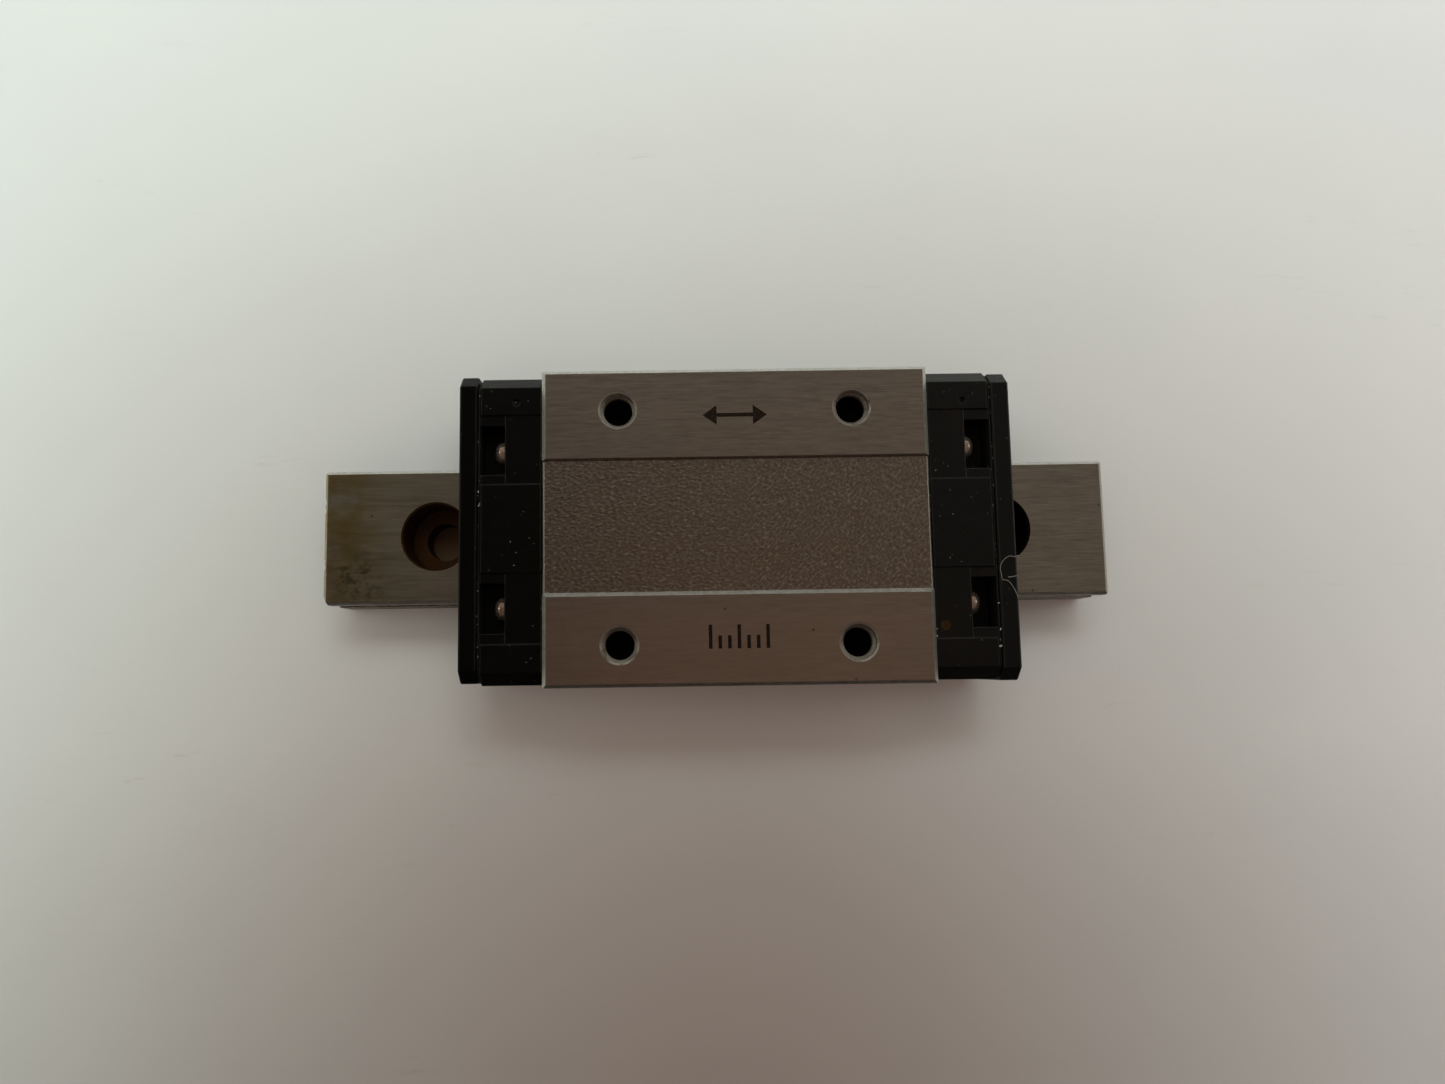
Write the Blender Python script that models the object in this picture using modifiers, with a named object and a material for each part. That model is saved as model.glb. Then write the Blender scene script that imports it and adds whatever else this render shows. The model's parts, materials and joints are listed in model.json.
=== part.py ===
"""Miniature linear guide: a long size-12 carriage on a short profile rail.

X runs along the rail, Y across it (the near side is -Y) and Z up from the rail's base.
The origin is the centre of the rail's base.  All lengths are in metres.
"""

import math

import bmesh
import bpy
from mathutils import Matrix, Vector

MM = 0.001

# Rail
RAIL_LENGTH = 70.0 * MM
RAIL_HALF_WIDTH = 6.0 * MM
RAIL_HEIGHT = 7.5 * MM
RAIL_TOP_CHAMFER = 0.25 * MM
RAIL_FOOT_CHAMFER = 0.3 * MM
RAIL_END_CHAMFER = 0.3 * MM
RAIL_HOLE_PITCH = 25.0 * MM
RAIL_HOLE_RADIUS = 1.75 * MM
COUNTERBORE_RADIUS = 3.0 * MM
COUNTERBORE_DEPTH = 4.5 * MM

# Ball circuit, in the cross-section
BALL_RADIUS = 1.19 * MM
GROOVE_RADIUS = 1.3 * MM
LOADED_Y = 6.3 * MM
RETURN_Y = 10.1 * MM
BALL_Z = 4.9 * MM
RELIEF_DEPTH_Y = 4.6 * MM
RELIEF_HALF_HEIGHT = 0.25 * MM
RELIEF_TAPER = 0.05 * MM
GROOVE_STEPS = 4

# Ball rows, along the rail
BALL_PITCH = 2.42 * MM
LOADED_COUNT = 11
RETURN_COUNT = 9
BALL_SEGMENTS = 10
BALL_RINGS = 6

# Carriage
CARRIAGE_X = 1.6 * MM
BLOCK_LENGTH = 33.0 * MM
BLOCK_HALF_WIDTH = 13.5 * MM
BLOCK_TOP = 13.0 * MM
BLOCK_BOTTOM = 3.0 * MM
BLOCK_TOP_CHAMFER = 0.3 * MM
BLOCK_FOOT_CHAMFER = 0.4 * MM
BLOCK_END_CHAMFER = 0.3 * MM
CHANNEL_HALF_WIDTH = 6.5 * MM
CHANNEL_TOP = 8.1 * MM
CHANNEL_CHAMFER = 0.3 * MM
RECESS_HALF_WIDTH = 5.77 * MM
RECESS_DEPTH = 0.35 * MM
RECESS_WALL_SLOPE = 0.1 * MM

# Threaded mounting holes of the block
MOUNT_SPACING = 20.0 * MM
MOUNT_CORE_RADIUS = 1.25 * MM
MOUNT_MOUTH_RADIUS = 1.6 * MM
MOUNT_DEPTH = 4.0 * MM

# End caps
SEAM_GAP = 0.05 * MM
CAP_LENGTH = 5.25 * MM
CAP_HALF_WIDTH = 13.25 * MM
CAP_TOP = 12.5 * MM
CAP_BOTTOM = 3.3 * MM
CAP_TOP_CHAMFER = 1.05 * MM
CAP_FOOT_CHAMFER = 0.5 * MM
BAND_INNER_Y = 3.8 * MM
BAND_OUTER_Y = 9.8 * MM
BAND_DEPTH = 0.15 * MM
WINDOW_INNER_Y = 4.65 * MM
WINDOW_OUTER_Y = 8.9 * MM
WINDOW_DEPTH_X = 2.1 * MM
WINDOW_FLOOR = 9.3 * MM
POCKET_LENGTH = 2.6 * MM
LOCATING_PEG_Y = 11.6 * MM
LOCATING_PEG_Z = 8.6 * MM
LOCATING_PEG_RADIUS = 0.6 * MM
LOCATING_PEG_LENGTH = 1.1 * MM

# End seals and end plates
SEAL_GAP = 0.05 * MM
SEAL_THICKNESS = 0.15 * MM
SEAL_HALF_WIDTH = 13.05 * MM
SEAL_TOP = 12.3 * MM
SEAL_BOTTOM = 3.5 * MM
SEAL_TOP_CHAMFER = 1.0 * MM
SEAL_RUNNING_GAP = 0.1 * MM
PLATE_THICKNESS = 1.55 * MM
PLATE_PEG_Y = 2.4 * MM
PLATE_PEG_Z = 10.3 * MM
PLATE_PEG_RADIUS = 0.6 * MM
PLATE_PEG_LENGTH = 1.8 * MM
GREASE_HOLE_RADIUS = 0.7 * MM
GREASE_HOLE_DEPTH = 2.0 * MM
FIT_GAP = 0.05 * MM

# Cap screws
SCREW_Y = 6.77 * MM
SCREW_Z = 10.6 * MM
SCREW_HEAD_RADIUS = 1.05 * MM
SCREW_HEAD_HEIGHT = 1.1 * MM
SCREW_SHANK_RADIUS = 0.55 * MM
SCREW_LENGTH = 6.4 * MM
SCREW_HOLE_RADIUS = 0.62 * MM
SCREW_HOLE_DEPTH = 3.8 * MM
CROSS_LENGTH = 1.2 * MM
CROSS_WIDTH = 0.28 * MM
CROSS_DEPTH = 0.45 * MM

# Return guides
GUIDE_HALF_HEIGHT = 1.2 * MM
GUIDE_STEPS = 24

# Retaining wires
WIRE_RADIUS = 0.15 * MM
WIRE_Y = 4.88 * MM
WIRE_ANCHOR_Y = 8.0 * MM
WIRE_BEND_X = 20.6 * MM
WIRE_BEND_RADIUS = 0.4 * MM
WIRE_HOLE_RADIUS = 0.22 * MM

HOLE_SEGMENTS = 32
SMALL_HOLE_SEGMENTS = 20
BORE_SEGMENTS = 24
OVERSHOOT = 1.0 * MM
WELD_DISTANCE = 0.001 * MM
SMOOTH_ANGLE = math.radians(35.0)
FLAT_ANGLE = math.radians(0.2)

SIDES = {"left": -1, "right": 1}
FLANKS = {"near": -1, "far": 1}
CAP_START = BLOCK_LENGTH / 2 + SEAM_GAP
CAP_END = CAP_START + CAP_LENGTH
SEAL_START = CAP_END + SEAL_GAP
PLATE_START = SEAL_START + SEAL_THICKNESS + SEAM_GAP
CIRCUIT_CENTRE_Y = (LOADED_Y + RETURN_Y) / 2
TURN_RADIUS = (RETURN_Y - LOADED_Y) / 2

# Turns the outline plane so that its x is world Y, its y is world Z and its normal is world X.
ACROSS_RAIL = Matrix(((0, 0, 1), (1, 0, 0), (0, 1, 0))).to_4x4()
AXIS_TURNS = {
    "X": Matrix.Rotation(math.pi / 2, 4, "Y"),
    "Y": Matrix.Rotation(-math.pi / 2, 4, "X"),
    "Z": Matrix.Identity(4),
}


def clear_scene():
    for item in list(bpy.data.objects):
        bpy.data.objects.remove(item)


def new_collection(name):
    collection = bpy.data.collections.new(name)
    bpy.context.scene.collection.children.link(collection)
    return collection


def new_material(name, colour, roughness, metallic):
    material = bpy.data.materials.new(name)
    material.use_nodes = True
    shader = material.node_tree.nodes["Principled BSDF"]
    shader.inputs["Base Color"].default_value = (*colour, 1.0)
    shader.inputs["Roughness"].default_value = roughness
    shader.inputs["Metallic"].default_value = metallic
    return material


def rail_steel():
    return new_material("rail_steel", (0.42, 0.38, 0.33), 0.34, 1.0)


def block_steel():
    return new_material("block_steel", (0.36, 0.32, 0.29), 0.42, 1.0)


def cap_plastic():
    return new_material("cap_plastic", (0.018, 0.018, 0.02), 0.5, 0.0)


def plate_plastic():
    return new_material("plate_plastic", (0.022, 0.022, 0.024), 0.55, 0.0)


def guide_plastic():
    return new_material("guide_plastic", (0.6, 0.58, 0.52), 0.45, 0.0)


def seal_rubber():
    return new_material("seal_rubber", (0.22, 0.22, 0.21), 0.7, 0.0)


def screw_steel():
    return new_material("screw_steel", (0.55, 0.54, 0.52), 0.3, 1.0)


def ball_steel():
    return new_material("ball_steel", (0.72, 0.72, 0.74), 0.12, 1.0)


def wire_steel():
    return new_material("wire_steel", (0.6, 0.59, 0.57), 0.25, 1.0)


def shade(mesh, smooth):
    """Rounds the shading of curved faces and keeps the real edges sharp."""
    for polygon in mesh.polygons:
        polygon.use_smooth = smooth
    if smooth:
        mesh.set_sharp_from_angle(angle=SMOOTH_ANGLE)


def add_object(name, mesh, material, collection, placement):
    item = bpy.data.objects.new(name, mesh)
    item.matrix_world = placement
    collection.objects.link(item)
    if material is None:
        item.hide_render = True
        item.display_type = "WIRE"
    elif not mesh.materials:
        mesh.materials.append(material)
    return item


def finish_mesh(name, work):
    """Turns a worked mesh into mesh data with its faces outwards."""
    bmesh.ops.recalc_face_normals(work, faces=work.faces)
    mesh = bpy.data.meshes.new(name)
    work.to_mesh(mesh)
    work.free()
    return mesh


def box(name, low, high, material, collection):
    """A block between two corners."""
    low = Vector(low)
    high = Vector(high)
    work = bmesh.new()
    bmesh.ops.create_cube(work, size=1.0)
    bmesh.ops.scale(work, vec=high - low, verts=work.verts)
    mesh = finish_mesh(name, work)
    return add_object(name, mesh, material, collection, Matrix.Translation((low + high) / 2))


def tilted_box(name, centre, size, turn_degrees, collection):
    """A cutter with its section turned about Y, for the chamfers of end faces."""
    work = bmesh.new()
    bmesh.ops.create_cube(work, size=1.0)
    bmesh.ops.scale(work, vec=size, verts=work.verts)
    mesh = finish_mesh(name, work)
    turn = Matrix.Rotation(math.radians(turn_degrees), 4, "Y")
    return add_object(name, mesh, None, collection, Matrix.Translation(centre) @ turn)


def cone(name, start, axis, length, radii, segments, material, collection):
    """A cylinder or cone from a start point along +axis; radii are at the start and the end."""
    work = bmesh.new()
    bmesh.ops.create_cone(
        work,
        cap_ends=True,
        segments=segments,
        radius1=radii[0],
        radius2=radii[1],
        depth=length,
    )
    bmesh.ops.translate(work, vec=(0.0, 0.0, length / 2), verts=work.verts)
    mesh = finish_mesh(name, work)
    shade(mesh, True)
    return add_object(name, mesh, material, collection, Matrix.Translation(start) @ AXIS_TURNS[axis])


def extrusion(name, outline, start, end, material, collection):
    """A closed (y, z) outline carried along X from start to end; the curve itself is in millimetres."""
    curve = bpy.data.curves.new(name, "CURVE")
    curve.dimensions = "2D"
    curve.fill_mode = "BOTH"
    curve.extrude = (end - start) / 2 / MM
    spline = curve.splines.new("POLY")
    spline.points.add(len(outline) - 1)
    for point, (y, z) in zip(spline.points, outline):
        point.co = (y / MM, z / MM, 0.0, 1.0)
    spline.use_cyclic_u = True
    source = bpy.data.objects.new(name + "_outline", curve)
    collection.objects.link(source)
    placement = Matrix.Translation(((start + end) / 2, 0.0, 0.0)) @ ACROSS_RAIL
    return solid_from_curve(name, source, placement, material, collection)


def solid_from_curve(name, source, placement, material, collection):
    """Turns a curve object drawn in millimetres into a closed mesh object and removes the curve."""
    bpy.context.view_layer.update()
    evaluated = source.evaluated_get(bpy.context.evaluated_depsgraph_get())
    mesh = bpy.data.meshes.new_from_object(evaluated)
    mesh.materials.clear()
    work = bmesh.new()
    work.from_mesh(mesh)
    bmesh.ops.scale(work, vec=(MM, MM, MM), verts=work.verts)
    bmesh.ops.remove_doubles(work, verts=work.verts, dist=WELD_DISTANCE)
    bmesh.ops.dissolve_limit(work, angle_limit=FLAT_ANGLE, verts=work.verts, edges=work.edges)
    bmesh.ops.recalc_face_normals(work, faces=work.faces)
    work.to_mesh(mesh)
    work.free()
    shade(mesh, True)
    curve = source.data
    bpy.data.objects.remove(source)
    bpy.data.curves.remove(curve)
    return add_object(name, mesh, material, collection, placement)


def turned(name, profile, steps, placement, material, collection):
    """A profile of (radius, height) points, top to bottom, turned about its Z axis."""
    work = bmesh.new()
    points = [work.verts.new((radius, 0.0, height)) for radius, height in profile]
    for upper, lower in zip(points, points[1:]):
        work.edges.new((upper, lower))
    mesh = bpy.data.meshes.new(name)
    work.to_mesh(mesh)
    work.free()
    item = add_object(name, mesh, material, collection, placement)
    screw = item.modifiers.new("turn", "SCREW")
    screw.axis = "Z"
    screw.angle = 2 * math.pi
    screw.steps = steps
    screw.render_steps = steps
    screw.use_merge_vertices = True
    screw.merge_threshold = WELD_DISTANCE
    screw.use_smooth_shade = True
    return item


def combine(target, tool, operation):
    """Cuts a tool out of a piece, or joins it on."""
    change = target.modifiers.new(tool.name, "BOOLEAN")
    change.operation = operation
    change.solver = "EXACT"
    change.object = tool


def cut(target, tool):
    combine(target, tool, "DIFFERENCE")


def arc(centre, radius, start, end, steps):
    """Points of an arc from start to end, in degrees from +Y towards +Z, both ends included."""
    points = []
    for step in range(steps + 1):
        angle = math.radians(start + (end - start) * step / steps)
        points.append((centre[0] + radius * math.cos(angle), centre[1] + radius * math.sin(angle)))
    return points


def both_sides(half):
    """Closes an outline given on the +Y side with its mirror image."""
    return half + [(-y, z) for y, z in reversed(half)]


def groove_arcs(radius, wall_y):
    """Angles at which the ball groove's circle meets the rail-side wall."""
    return math.degrees(math.acos((wall_y - LOADED_Y) / radius))


def rail_outline():
    opening = groove_arcs(GROOVE_RADIUS, RAIL_HALF_WIDTH)
    relief = math.degrees(math.asin(RELIEF_HALF_HEIGHT / GROOVE_RADIUS))
    groove = (LOADED_Y, BALL_Z)
    half = [
        (RAIL_HALF_WIDTH - RAIL_TOP_CHAMFER, RAIL_HEIGHT),
        (RAIL_HALF_WIDTH, RAIL_HEIGHT - RAIL_TOP_CHAMFER),
    ]
    half += arc(groove, GROOVE_RADIUS, opening, 180.0 - relief, GROOVE_STEPS)
    half += [
        (RELIEF_DEPTH_Y, BALL_Z + RELIEF_HALF_HEIGHT - RELIEF_TAPER),
        (RELIEF_DEPTH_Y, BALL_Z - RELIEF_HALF_HEIGHT + RELIEF_TAPER),
    ]
    half += arc(groove, GROOVE_RADIUS, 180.0 + relief, 360.0 - opening, GROOVE_STEPS)
    half += [
        (RAIL_HALF_WIDTH, RAIL_FOOT_CHAMFER),
        (RAIL_HALF_WIDTH - RAIL_FOOT_CHAMFER, 0.0),
    ]
    return both_sides(half)


def build_rail(parts, cutters):
    half_length = RAIL_LENGTH / 2
    rail = extrusion("rail", rail_outline(), -half_length, half_length, rail_steel(), parts)
    for number in (-1, 0, 1):
        x = number * RAIL_HOLE_PITCH
        floor = RAIL_HEIGHT - COUNTERBORE_DEPTH
        label = f"rail_hole_{number + 2}"
        through = cone(
            label,
            (x, 0.0, -OVERSHOOT),
            "Z",
            RAIL_HEIGHT + 2 * OVERSHOOT,
            (RAIL_HOLE_RADIUS, RAIL_HOLE_RADIUS),
            HOLE_SEGMENTS,
            None,
            cutters,
        )
        counterbore = cone(
            label + "_counterbore",
            (x, 0.0, floor),
            "Z",
            COUNTERBORE_DEPTH + OVERSHOOT,
            (COUNTERBORE_RADIUS, COUNTERBORE_RADIUS),
            HOLE_SEGMENTS,
            None,
            cutters,
        )
        cut(rail, through)
        cut(rail, counterbore)
    for side, sign in SIDES.items():
        chamfer_end(rail, f"rail_{side}", sign * half_length, RAIL_HEIGHT, RAIL_END_CHAMFER, cutters)


def chamfer_end(piece, label, x, top, size, cutters):
    """Breaks the top edge of an end face at x with a 45 degree chamfer."""
    width = 2 * BLOCK_HALF_WIDTH + 2 * OVERSHOOT
    side = size * math.sqrt(2.0)
    tool = tilted_box(label + "_end_chamfer", (x, 0.0, top), (side, width, side), 45.0, cutters)
    cut(piece, tool)


def block_outline():
    opening = groove_arcs(GROOVE_RADIUS, CHANNEL_HALF_WIDTH)
    half = [
        (RECESS_HALF_WIDTH - RECESS_WALL_SLOPE, BLOCK_TOP - RECESS_DEPTH),
        (RECESS_HALF_WIDTH, BLOCK_TOP),
        (BLOCK_HALF_WIDTH - BLOCK_TOP_CHAMFER, BLOCK_TOP),
        (BLOCK_HALF_WIDTH, BLOCK_TOP - BLOCK_TOP_CHAMFER),
        (BLOCK_HALF_WIDTH, BLOCK_BOTTOM + BLOCK_FOOT_CHAMFER),
        (BLOCK_HALF_WIDTH - BLOCK_FOOT_CHAMFER, BLOCK_BOTTOM),
        (CHANNEL_HALF_WIDTH + CHANNEL_CHAMFER, BLOCK_BOTTOM),
        (CHANNEL_HALF_WIDTH, BLOCK_BOTTOM + CHANNEL_CHAMFER),
    ]
    half += arc((LOADED_Y, BALL_Z), GROOVE_RADIUS, -opening, opening, 2 * GROOVE_STEPS)
    half += [
        (CHANNEL_HALF_WIDTH, CHANNEL_TOP - CHANNEL_CHAMFER),
        (CHANNEL_HALF_WIDTH - CHANNEL_CHAMFER, CHANNEL_TOP),
    ]
    return both_sides(half)


def build_block(parts, cutters):
    start = CARRIAGE_X - BLOCK_LENGTH / 2
    end = CARRIAGE_X + BLOCK_LENGTH / 2
    block = extrusion("carriage_block", block_outline(), start, end, block_steel(), parts)
    for flank, flank_sign in FLANKS.items():
        bore = cone(
            f"return_bore_{flank}",
            (start - OVERSHOOT, flank_sign * RETURN_Y, BALL_Z),
            "X",
            BLOCK_LENGTH + 2 * OVERSHOOT,
            (GROOVE_RADIUS, GROOVE_RADIUS),
            BORE_SEGMENTS,
            None,
            cutters,
        )
        cut(block, bore)
        for side, side_sign in SIDES.items():
            cut_mount_hole(block, f"{side}_{flank}", side_sign, flank_sign, cutters)
            cut_end_holes(block, f"{side}_{flank}", side_sign, flank_sign, cutters)
    for side, side_sign in SIDES.items():
        x = CARRIAGE_X + side_sign * BLOCK_LENGTH / 2
        chamfer_end(block, f"block_{side}", x, BLOCK_TOP, BLOCK_END_CHAMFER, cutters)


def cut_mount_hole(block, label, side_sign, flank_sign, cutters):
    """One threaded hole: its core and its countersunk mouth."""
    x = CARRIAGE_X + side_sign * MOUNT_SPACING / 2
    y = flank_sign * MOUNT_SPACING / 2
    sink = MOUNT_MOUTH_RADIUS - MOUNT_CORE_RADIUS
    core = cone(
        f"mount_core_{label}",
        (x, y, BLOCK_TOP - MOUNT_DEPTH),
        "Z",
        MOUNT_DEPTH + OVERSHOOT,
        (MOUNT_CORE_RADIUS, MOUNT_CORE_RADIUS),
        SMALL_HOLE_SEGMENTS,
        None,
        cutters,
    )
    cut(block, core)
    mouth = cone(
        f"mount_mouth_{label}",
        (x, y, BLOCK_TOP - sink),
        "Z",
        sink * 2,
        (MOUNT_CORE_RADIUS, MOUNT_MOUTH_RADIUS + sink),
        SMALL_HOLE_SEGMENTS,
        None,
        cutters,
    )
    cut(block, mouth)


def cut_end_holes(block, label, side_sign, flank_sign, cutters):
    """The cap screw's hole and the locating peg's hole in one end face."""
    face = CARRIAGE_X + side_sign * BLOCK_LENGTH / 2
    holes = (
        ("screw", SCREW_Y, SCREW_Z, SCREW_HOLE_RADIUS, SCREW_HOLE_DEPTH),
        ("peg", LOCATING_PEG_Y, LOCATING_PEG_Z, LOCATING_PEG_RADIUS + FIT_GAP, LOCATING_PEG_LENGTH * 1.2),
    )
    for kind, y, z, radius, depth in holes:
        low = min(face - side_sign * depth, face + side_sign * OVERSHOOT)
        tool = cone(
            f"block_{kind}_hole_{label}",
            (low, flank_sign * y, z),
            "X",
            depth + OVERSHOOT,
            (radius, radius),
            SMALL_HOLE_SEGMENTS,
            None,
            cutters,
        )
        cut(block, tool)


def x_span(side_sign, inner, outer):
    """World x limits, low first, of a stretch measured outwards from the carriage's centre."""
    ends = (CARRIAGE_X + side_sign * inner, CARRIAGE_X + side_sign * outer)
    return min(ends), max(ends)


def cap_outline():
    half = [
        (BAND_INNER_Y, CAP_TOP),
        (BAND_INNER_Y + BAND_DEPTH, CAP_TOP - BAND_DEPTH),
        (BAND_OUTER_Y - BAND_DEPTH, CAP_TOP - BAND_DEPTH),
        (BAND_OUTER_Y, CAP_TOP),
        (CAP_HALF_WIDTH - CAP_TOP_CHAMFER, CAP_TOP),
        (CAP_HALF_WIDTH, CAP_TOP - CAP_TOP_CHAMFER),
        (CAP_HALF_WIDTH, CAP_BOTTOM + CAP_FOOT_CHAMFER),
        (CAP_HALF_WIDTH - CAP_FOOT_CHAMFER, CAP_BOTTOM),
        (CHANNEL_HALF_WIDTH, CAP_BOTTOM),
        (CHANNEL_HALF_WIDTH, CHANNEL_TOP - CHANNEL_CHAMFER),
        (CHANNEL_HALF_WIDTH - CHANNEL_CHAMFER, CHANNEL_TOP),
    ]
    return both_sides(half)


def pocket_outline(flank_sign):
    """The ball turnaround's pocket: a slot from the loaded row to the return bore."""
    inner = arc((LOADED_Y, BALL_Z), GROOVE_RADIUS, 90.0, 270.0, 2 * GROOVE_STEPS)
    outer = arc((RETURN_Y, BALL_Z), GROOVE_RADIUS, -90.0, 90.0, 2 * GROOVE_STEPS)
    return [(flank_sign * y, z) for y, z in inner + outer]


def build_end_cap(side, side_sign, material, parts, cutters):
    low, high = x_span(side_sign, CAP_START, CAP_END)
    name = f"end_cap_{side}"
    cap = extrusion(name, cap_outline(), low, high, material, parts)
    window_low, window_high = x_span(side_sign, CAP_END - WINDOW_DEPTH_X, CAP_END + OVERSHOOT)
    pocket_low, pocket_high = x_span(side_sign, CAP_START - OVERSHOOT, CAP_START + POCKET_LENGTH)
    peg_low, peg_high = x_span(side_sign, CAP_START - LOCATING_PEG_LENGTH, CAP_START + LOCATING_PEG_LENGTH)
    hole_low, hole_high = x_span(side_sign, CAP_START - OVERSHOOT, CAP_END + OVERSHOOT)
    for flank, flank_sign in FLANKS.items():
        window_y = sorted((flank_sign * WINDOW_INNER_Y, flank_sign * WINDOW_OUTER_Y))
        window = box(
            f"window_{side}_{flank}",
            (window_low, window_y[0], WINDOW_FLOOR),
            (window_high, window_y[1], CAP_TOP + OVERSHOOT),
            None,
            cutters,
        )
        cut(cap, window)
        pocket = extrusion(
            f"pocket_{side}_{flank}",
            pocket_outline(flank_sign),
            pocket_low,
            pocket_high,
            None,
            cutters,
        )
        cut(cap, pocket)
        screw_hole = cone(
            f"cap_screw_hole_{side}_{flank}",
            (hole_low, flank_sign * SCREW_Y, SCREW_Z),
            "X",
            hole_high - hole_low,
            (SCREW_HOLE_RADIUS, SCREW_HOLE_RADIUS),
            SMALL_HOLE_SEGMENTS,
            None,
            cutters,
        )
        cut(cap, screw_hole)
        wire_start = CHANNEL_HALF_WIDTH - OVERSHOOT
        wire_length = WIRE_ANCHOR_Y - wire_start + 2 * FIT_GAP
        wire_y = wire_start if flank_sign > 0 else -wire_start - wire_length
        wire_hole = cone(
            f"wire_hole_{side}_{flank}",
            (CARRIAGE_X + side_sign * WIRE_BEND_X, wire_y, BALL_Z),
            "Y",
            wire_length,
            (WIRE_HOLE_RADIUS, WIRE_HOLE_RADIUS),
            SMALL_HOLE_SEGMENTS,
            None,
            cutters,
        )
        cut(cap, wire_hole)
        peg = cone(
            f"locating_peg_{side}_{flank}",
            (peg_low, flank_sign * LOCATING_PEG_Y, LOCATING_PEG_Z),
            "X",
            peg_high - peg_low,
            (LOCATING_PEG_RADIUS, LOCATING_PEG_RADIUS),
            SMALL_HOLE_SEGMENTS,
            None,
            cutters,
        )
        combine(cap, peg, "UNION")
    cut_plate_fixings(cap, name, side_sign, CAP_END, GREASE_HOLE_DEPTH, PLATE_PEG_RADIUS + FIT_GAP, cutters)


def cut_plate_fixings(piece, label, side_sign, face, depth, peg_hole_radius, cutters):
    """The grease hole on the centre line and the two peg holes beside it."""
    low, high = x_span(side_sign, face - depth, face + OVERSHOOT)
    holes = (
        ("grease", 0.0, GREASE_HOLE_RADIUS),
        ("peg_near", -PLATE_PEG_Y, peg_hole_radius),
        ("peg_far", PLATE_PEG_Y, peg_hole_radius),
    )
    for kind, y, radius in holes:
        tool = cone(
            f"{label}_{kind}_hole",
            (low, y, PLATE_PEG_Z),
            "X",
            high - low,
            (radius, radius),
            SMALL_HOLE_SEGMENTS,
            None,
            cutters,
        )
        cut(piece, tool)


def seal_outline():
    """The seal follows the rail's profile closely, groove included."""
    wall_y = RAIL_HALF_WIDTH + SEAL_RUNNING_GAP
    lip_radius = GROOVE_RADIUS - SEAL_RUNNING_GAP
    opening = groove_arcs(lip_radius, wall_y)
    half = [
        (SEAL_HALF_WIDTH - SEAL_TOP_CHAMFER, SEAL_TOP),
        (SEAL_HALF_WIDTH, SEAL_TOP - SEAL_TOP_CHAMFER),
        (SEAL_HALF_WIDTH, SEAL_BOTTOM),
        (wall_y, SEAL_BOTTOM),
    ]
    half += arc((LOADED_Y, BALL_Z), lip_radius, 360.0 - opening, opening, 2 * GROOVE_STEPS)
    half += [
        (wall_y, RAIL_HEIGHT - RAIL_TOP_CHAMFER),
        (wall_y - RAIL_TOP_CHAMFER, RAIL_HEIGHT + SEAL_RUNNING_GAP),
    ]
    return both_sides(half)


def build_end_seal(side, side_sign, material, parts, cutters):
    low, high = x_span(side_sign, SEAL_START, SEAL_START + SEAL_THICKNESS)
    name = f"end_seal_{side}"
    seal = extrusion(name, seal_outline(), low, high, material, parts)
    depth = SEAL_THICKNESS + OVERSHOOT
    face = SEAL_START + SEAL_THICKNESS
    cut_plate_fixings(seal, name, side_sign, face, depth, PLATE_PEG_RADIUS + FIT_GAP, cutters)


def plate_outline():
    half = [
        (CAP_HALF_WIDTH - CAP_TOP_CHAMFER, CAP_TOP),
        (CAP_HALF_WIDTH, CAP_TOP - CAP_TOP_CHAMFER),
        (CAP_HALF_WIDTH, CAP_BOTTOM + CAP_FOOT_CHAMFER),
        (CAP_HALF_WIDTH - CAP_FOOT_CHAMFER, CAP_BOTTOM),
        (CHANNEL_HALF_WIDTH, CAP_BOTTOM),
        (CHANNEL_HALF_WIDTH, CHANNEL_TOP - CHANNEL_CHAMFER),
        (CHANNEL_HALF_WIDTH - CHANNEL_CHAMFER, CHANNEL_TOP),
    ]
    return both_sides(half)


def build_end_plate(side, side_sign, material, parts, cutters):
    low, high = x_span(side_sign, PLATE_START, PLATE_START + PLATE_THICKNESS)
    name = f"end_plate_{side}"
    plate = extrusion(name, plate_outline(), low, high, material, parts)
    for flank, flank_sign in FLANKS.items():
        peg_low, peg_high = x_span(
            side_sign,
            PLATE_START - PLATE_PEG_LENGTH,
            PLATE_START + PLATE_THICKNESS / 2,
        )
        peg = cone(
            f"plate_peg_{side}_{flank}",
            (peg_low, flank_sign * PLATE_PEG_Y, PLATE_PEG_Z),
            "X",
            peg_high - peg_low,
            (PLATE_PEG_RADIUS, PLATE_PEG_RADIUS),
            SMALL_HOLE_SEGMENTS,
            None,
            cutters,
        )
        combine(plate, peg, "UNION")
    grease_low, grease_high = x_span(
        side_sign, PLATE_START - OVERSHOOT, PLATE_START + PLATE_THICKNESS + OVERSHOOT
    )
    grease = cone(
        f"plate_grease_hole_{side}",
        (grease_low, 0.0, PLATE_PEG_Z),
        "X",
        grease_high - grease_low,
        (GREASE_HOLE_RADIUS, GREASE_HOLE_RADIUS),
        SMALL_HOLE_SEGMENTS,
        None,
        cutters,
    )
    cut(plate, grease)


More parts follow.
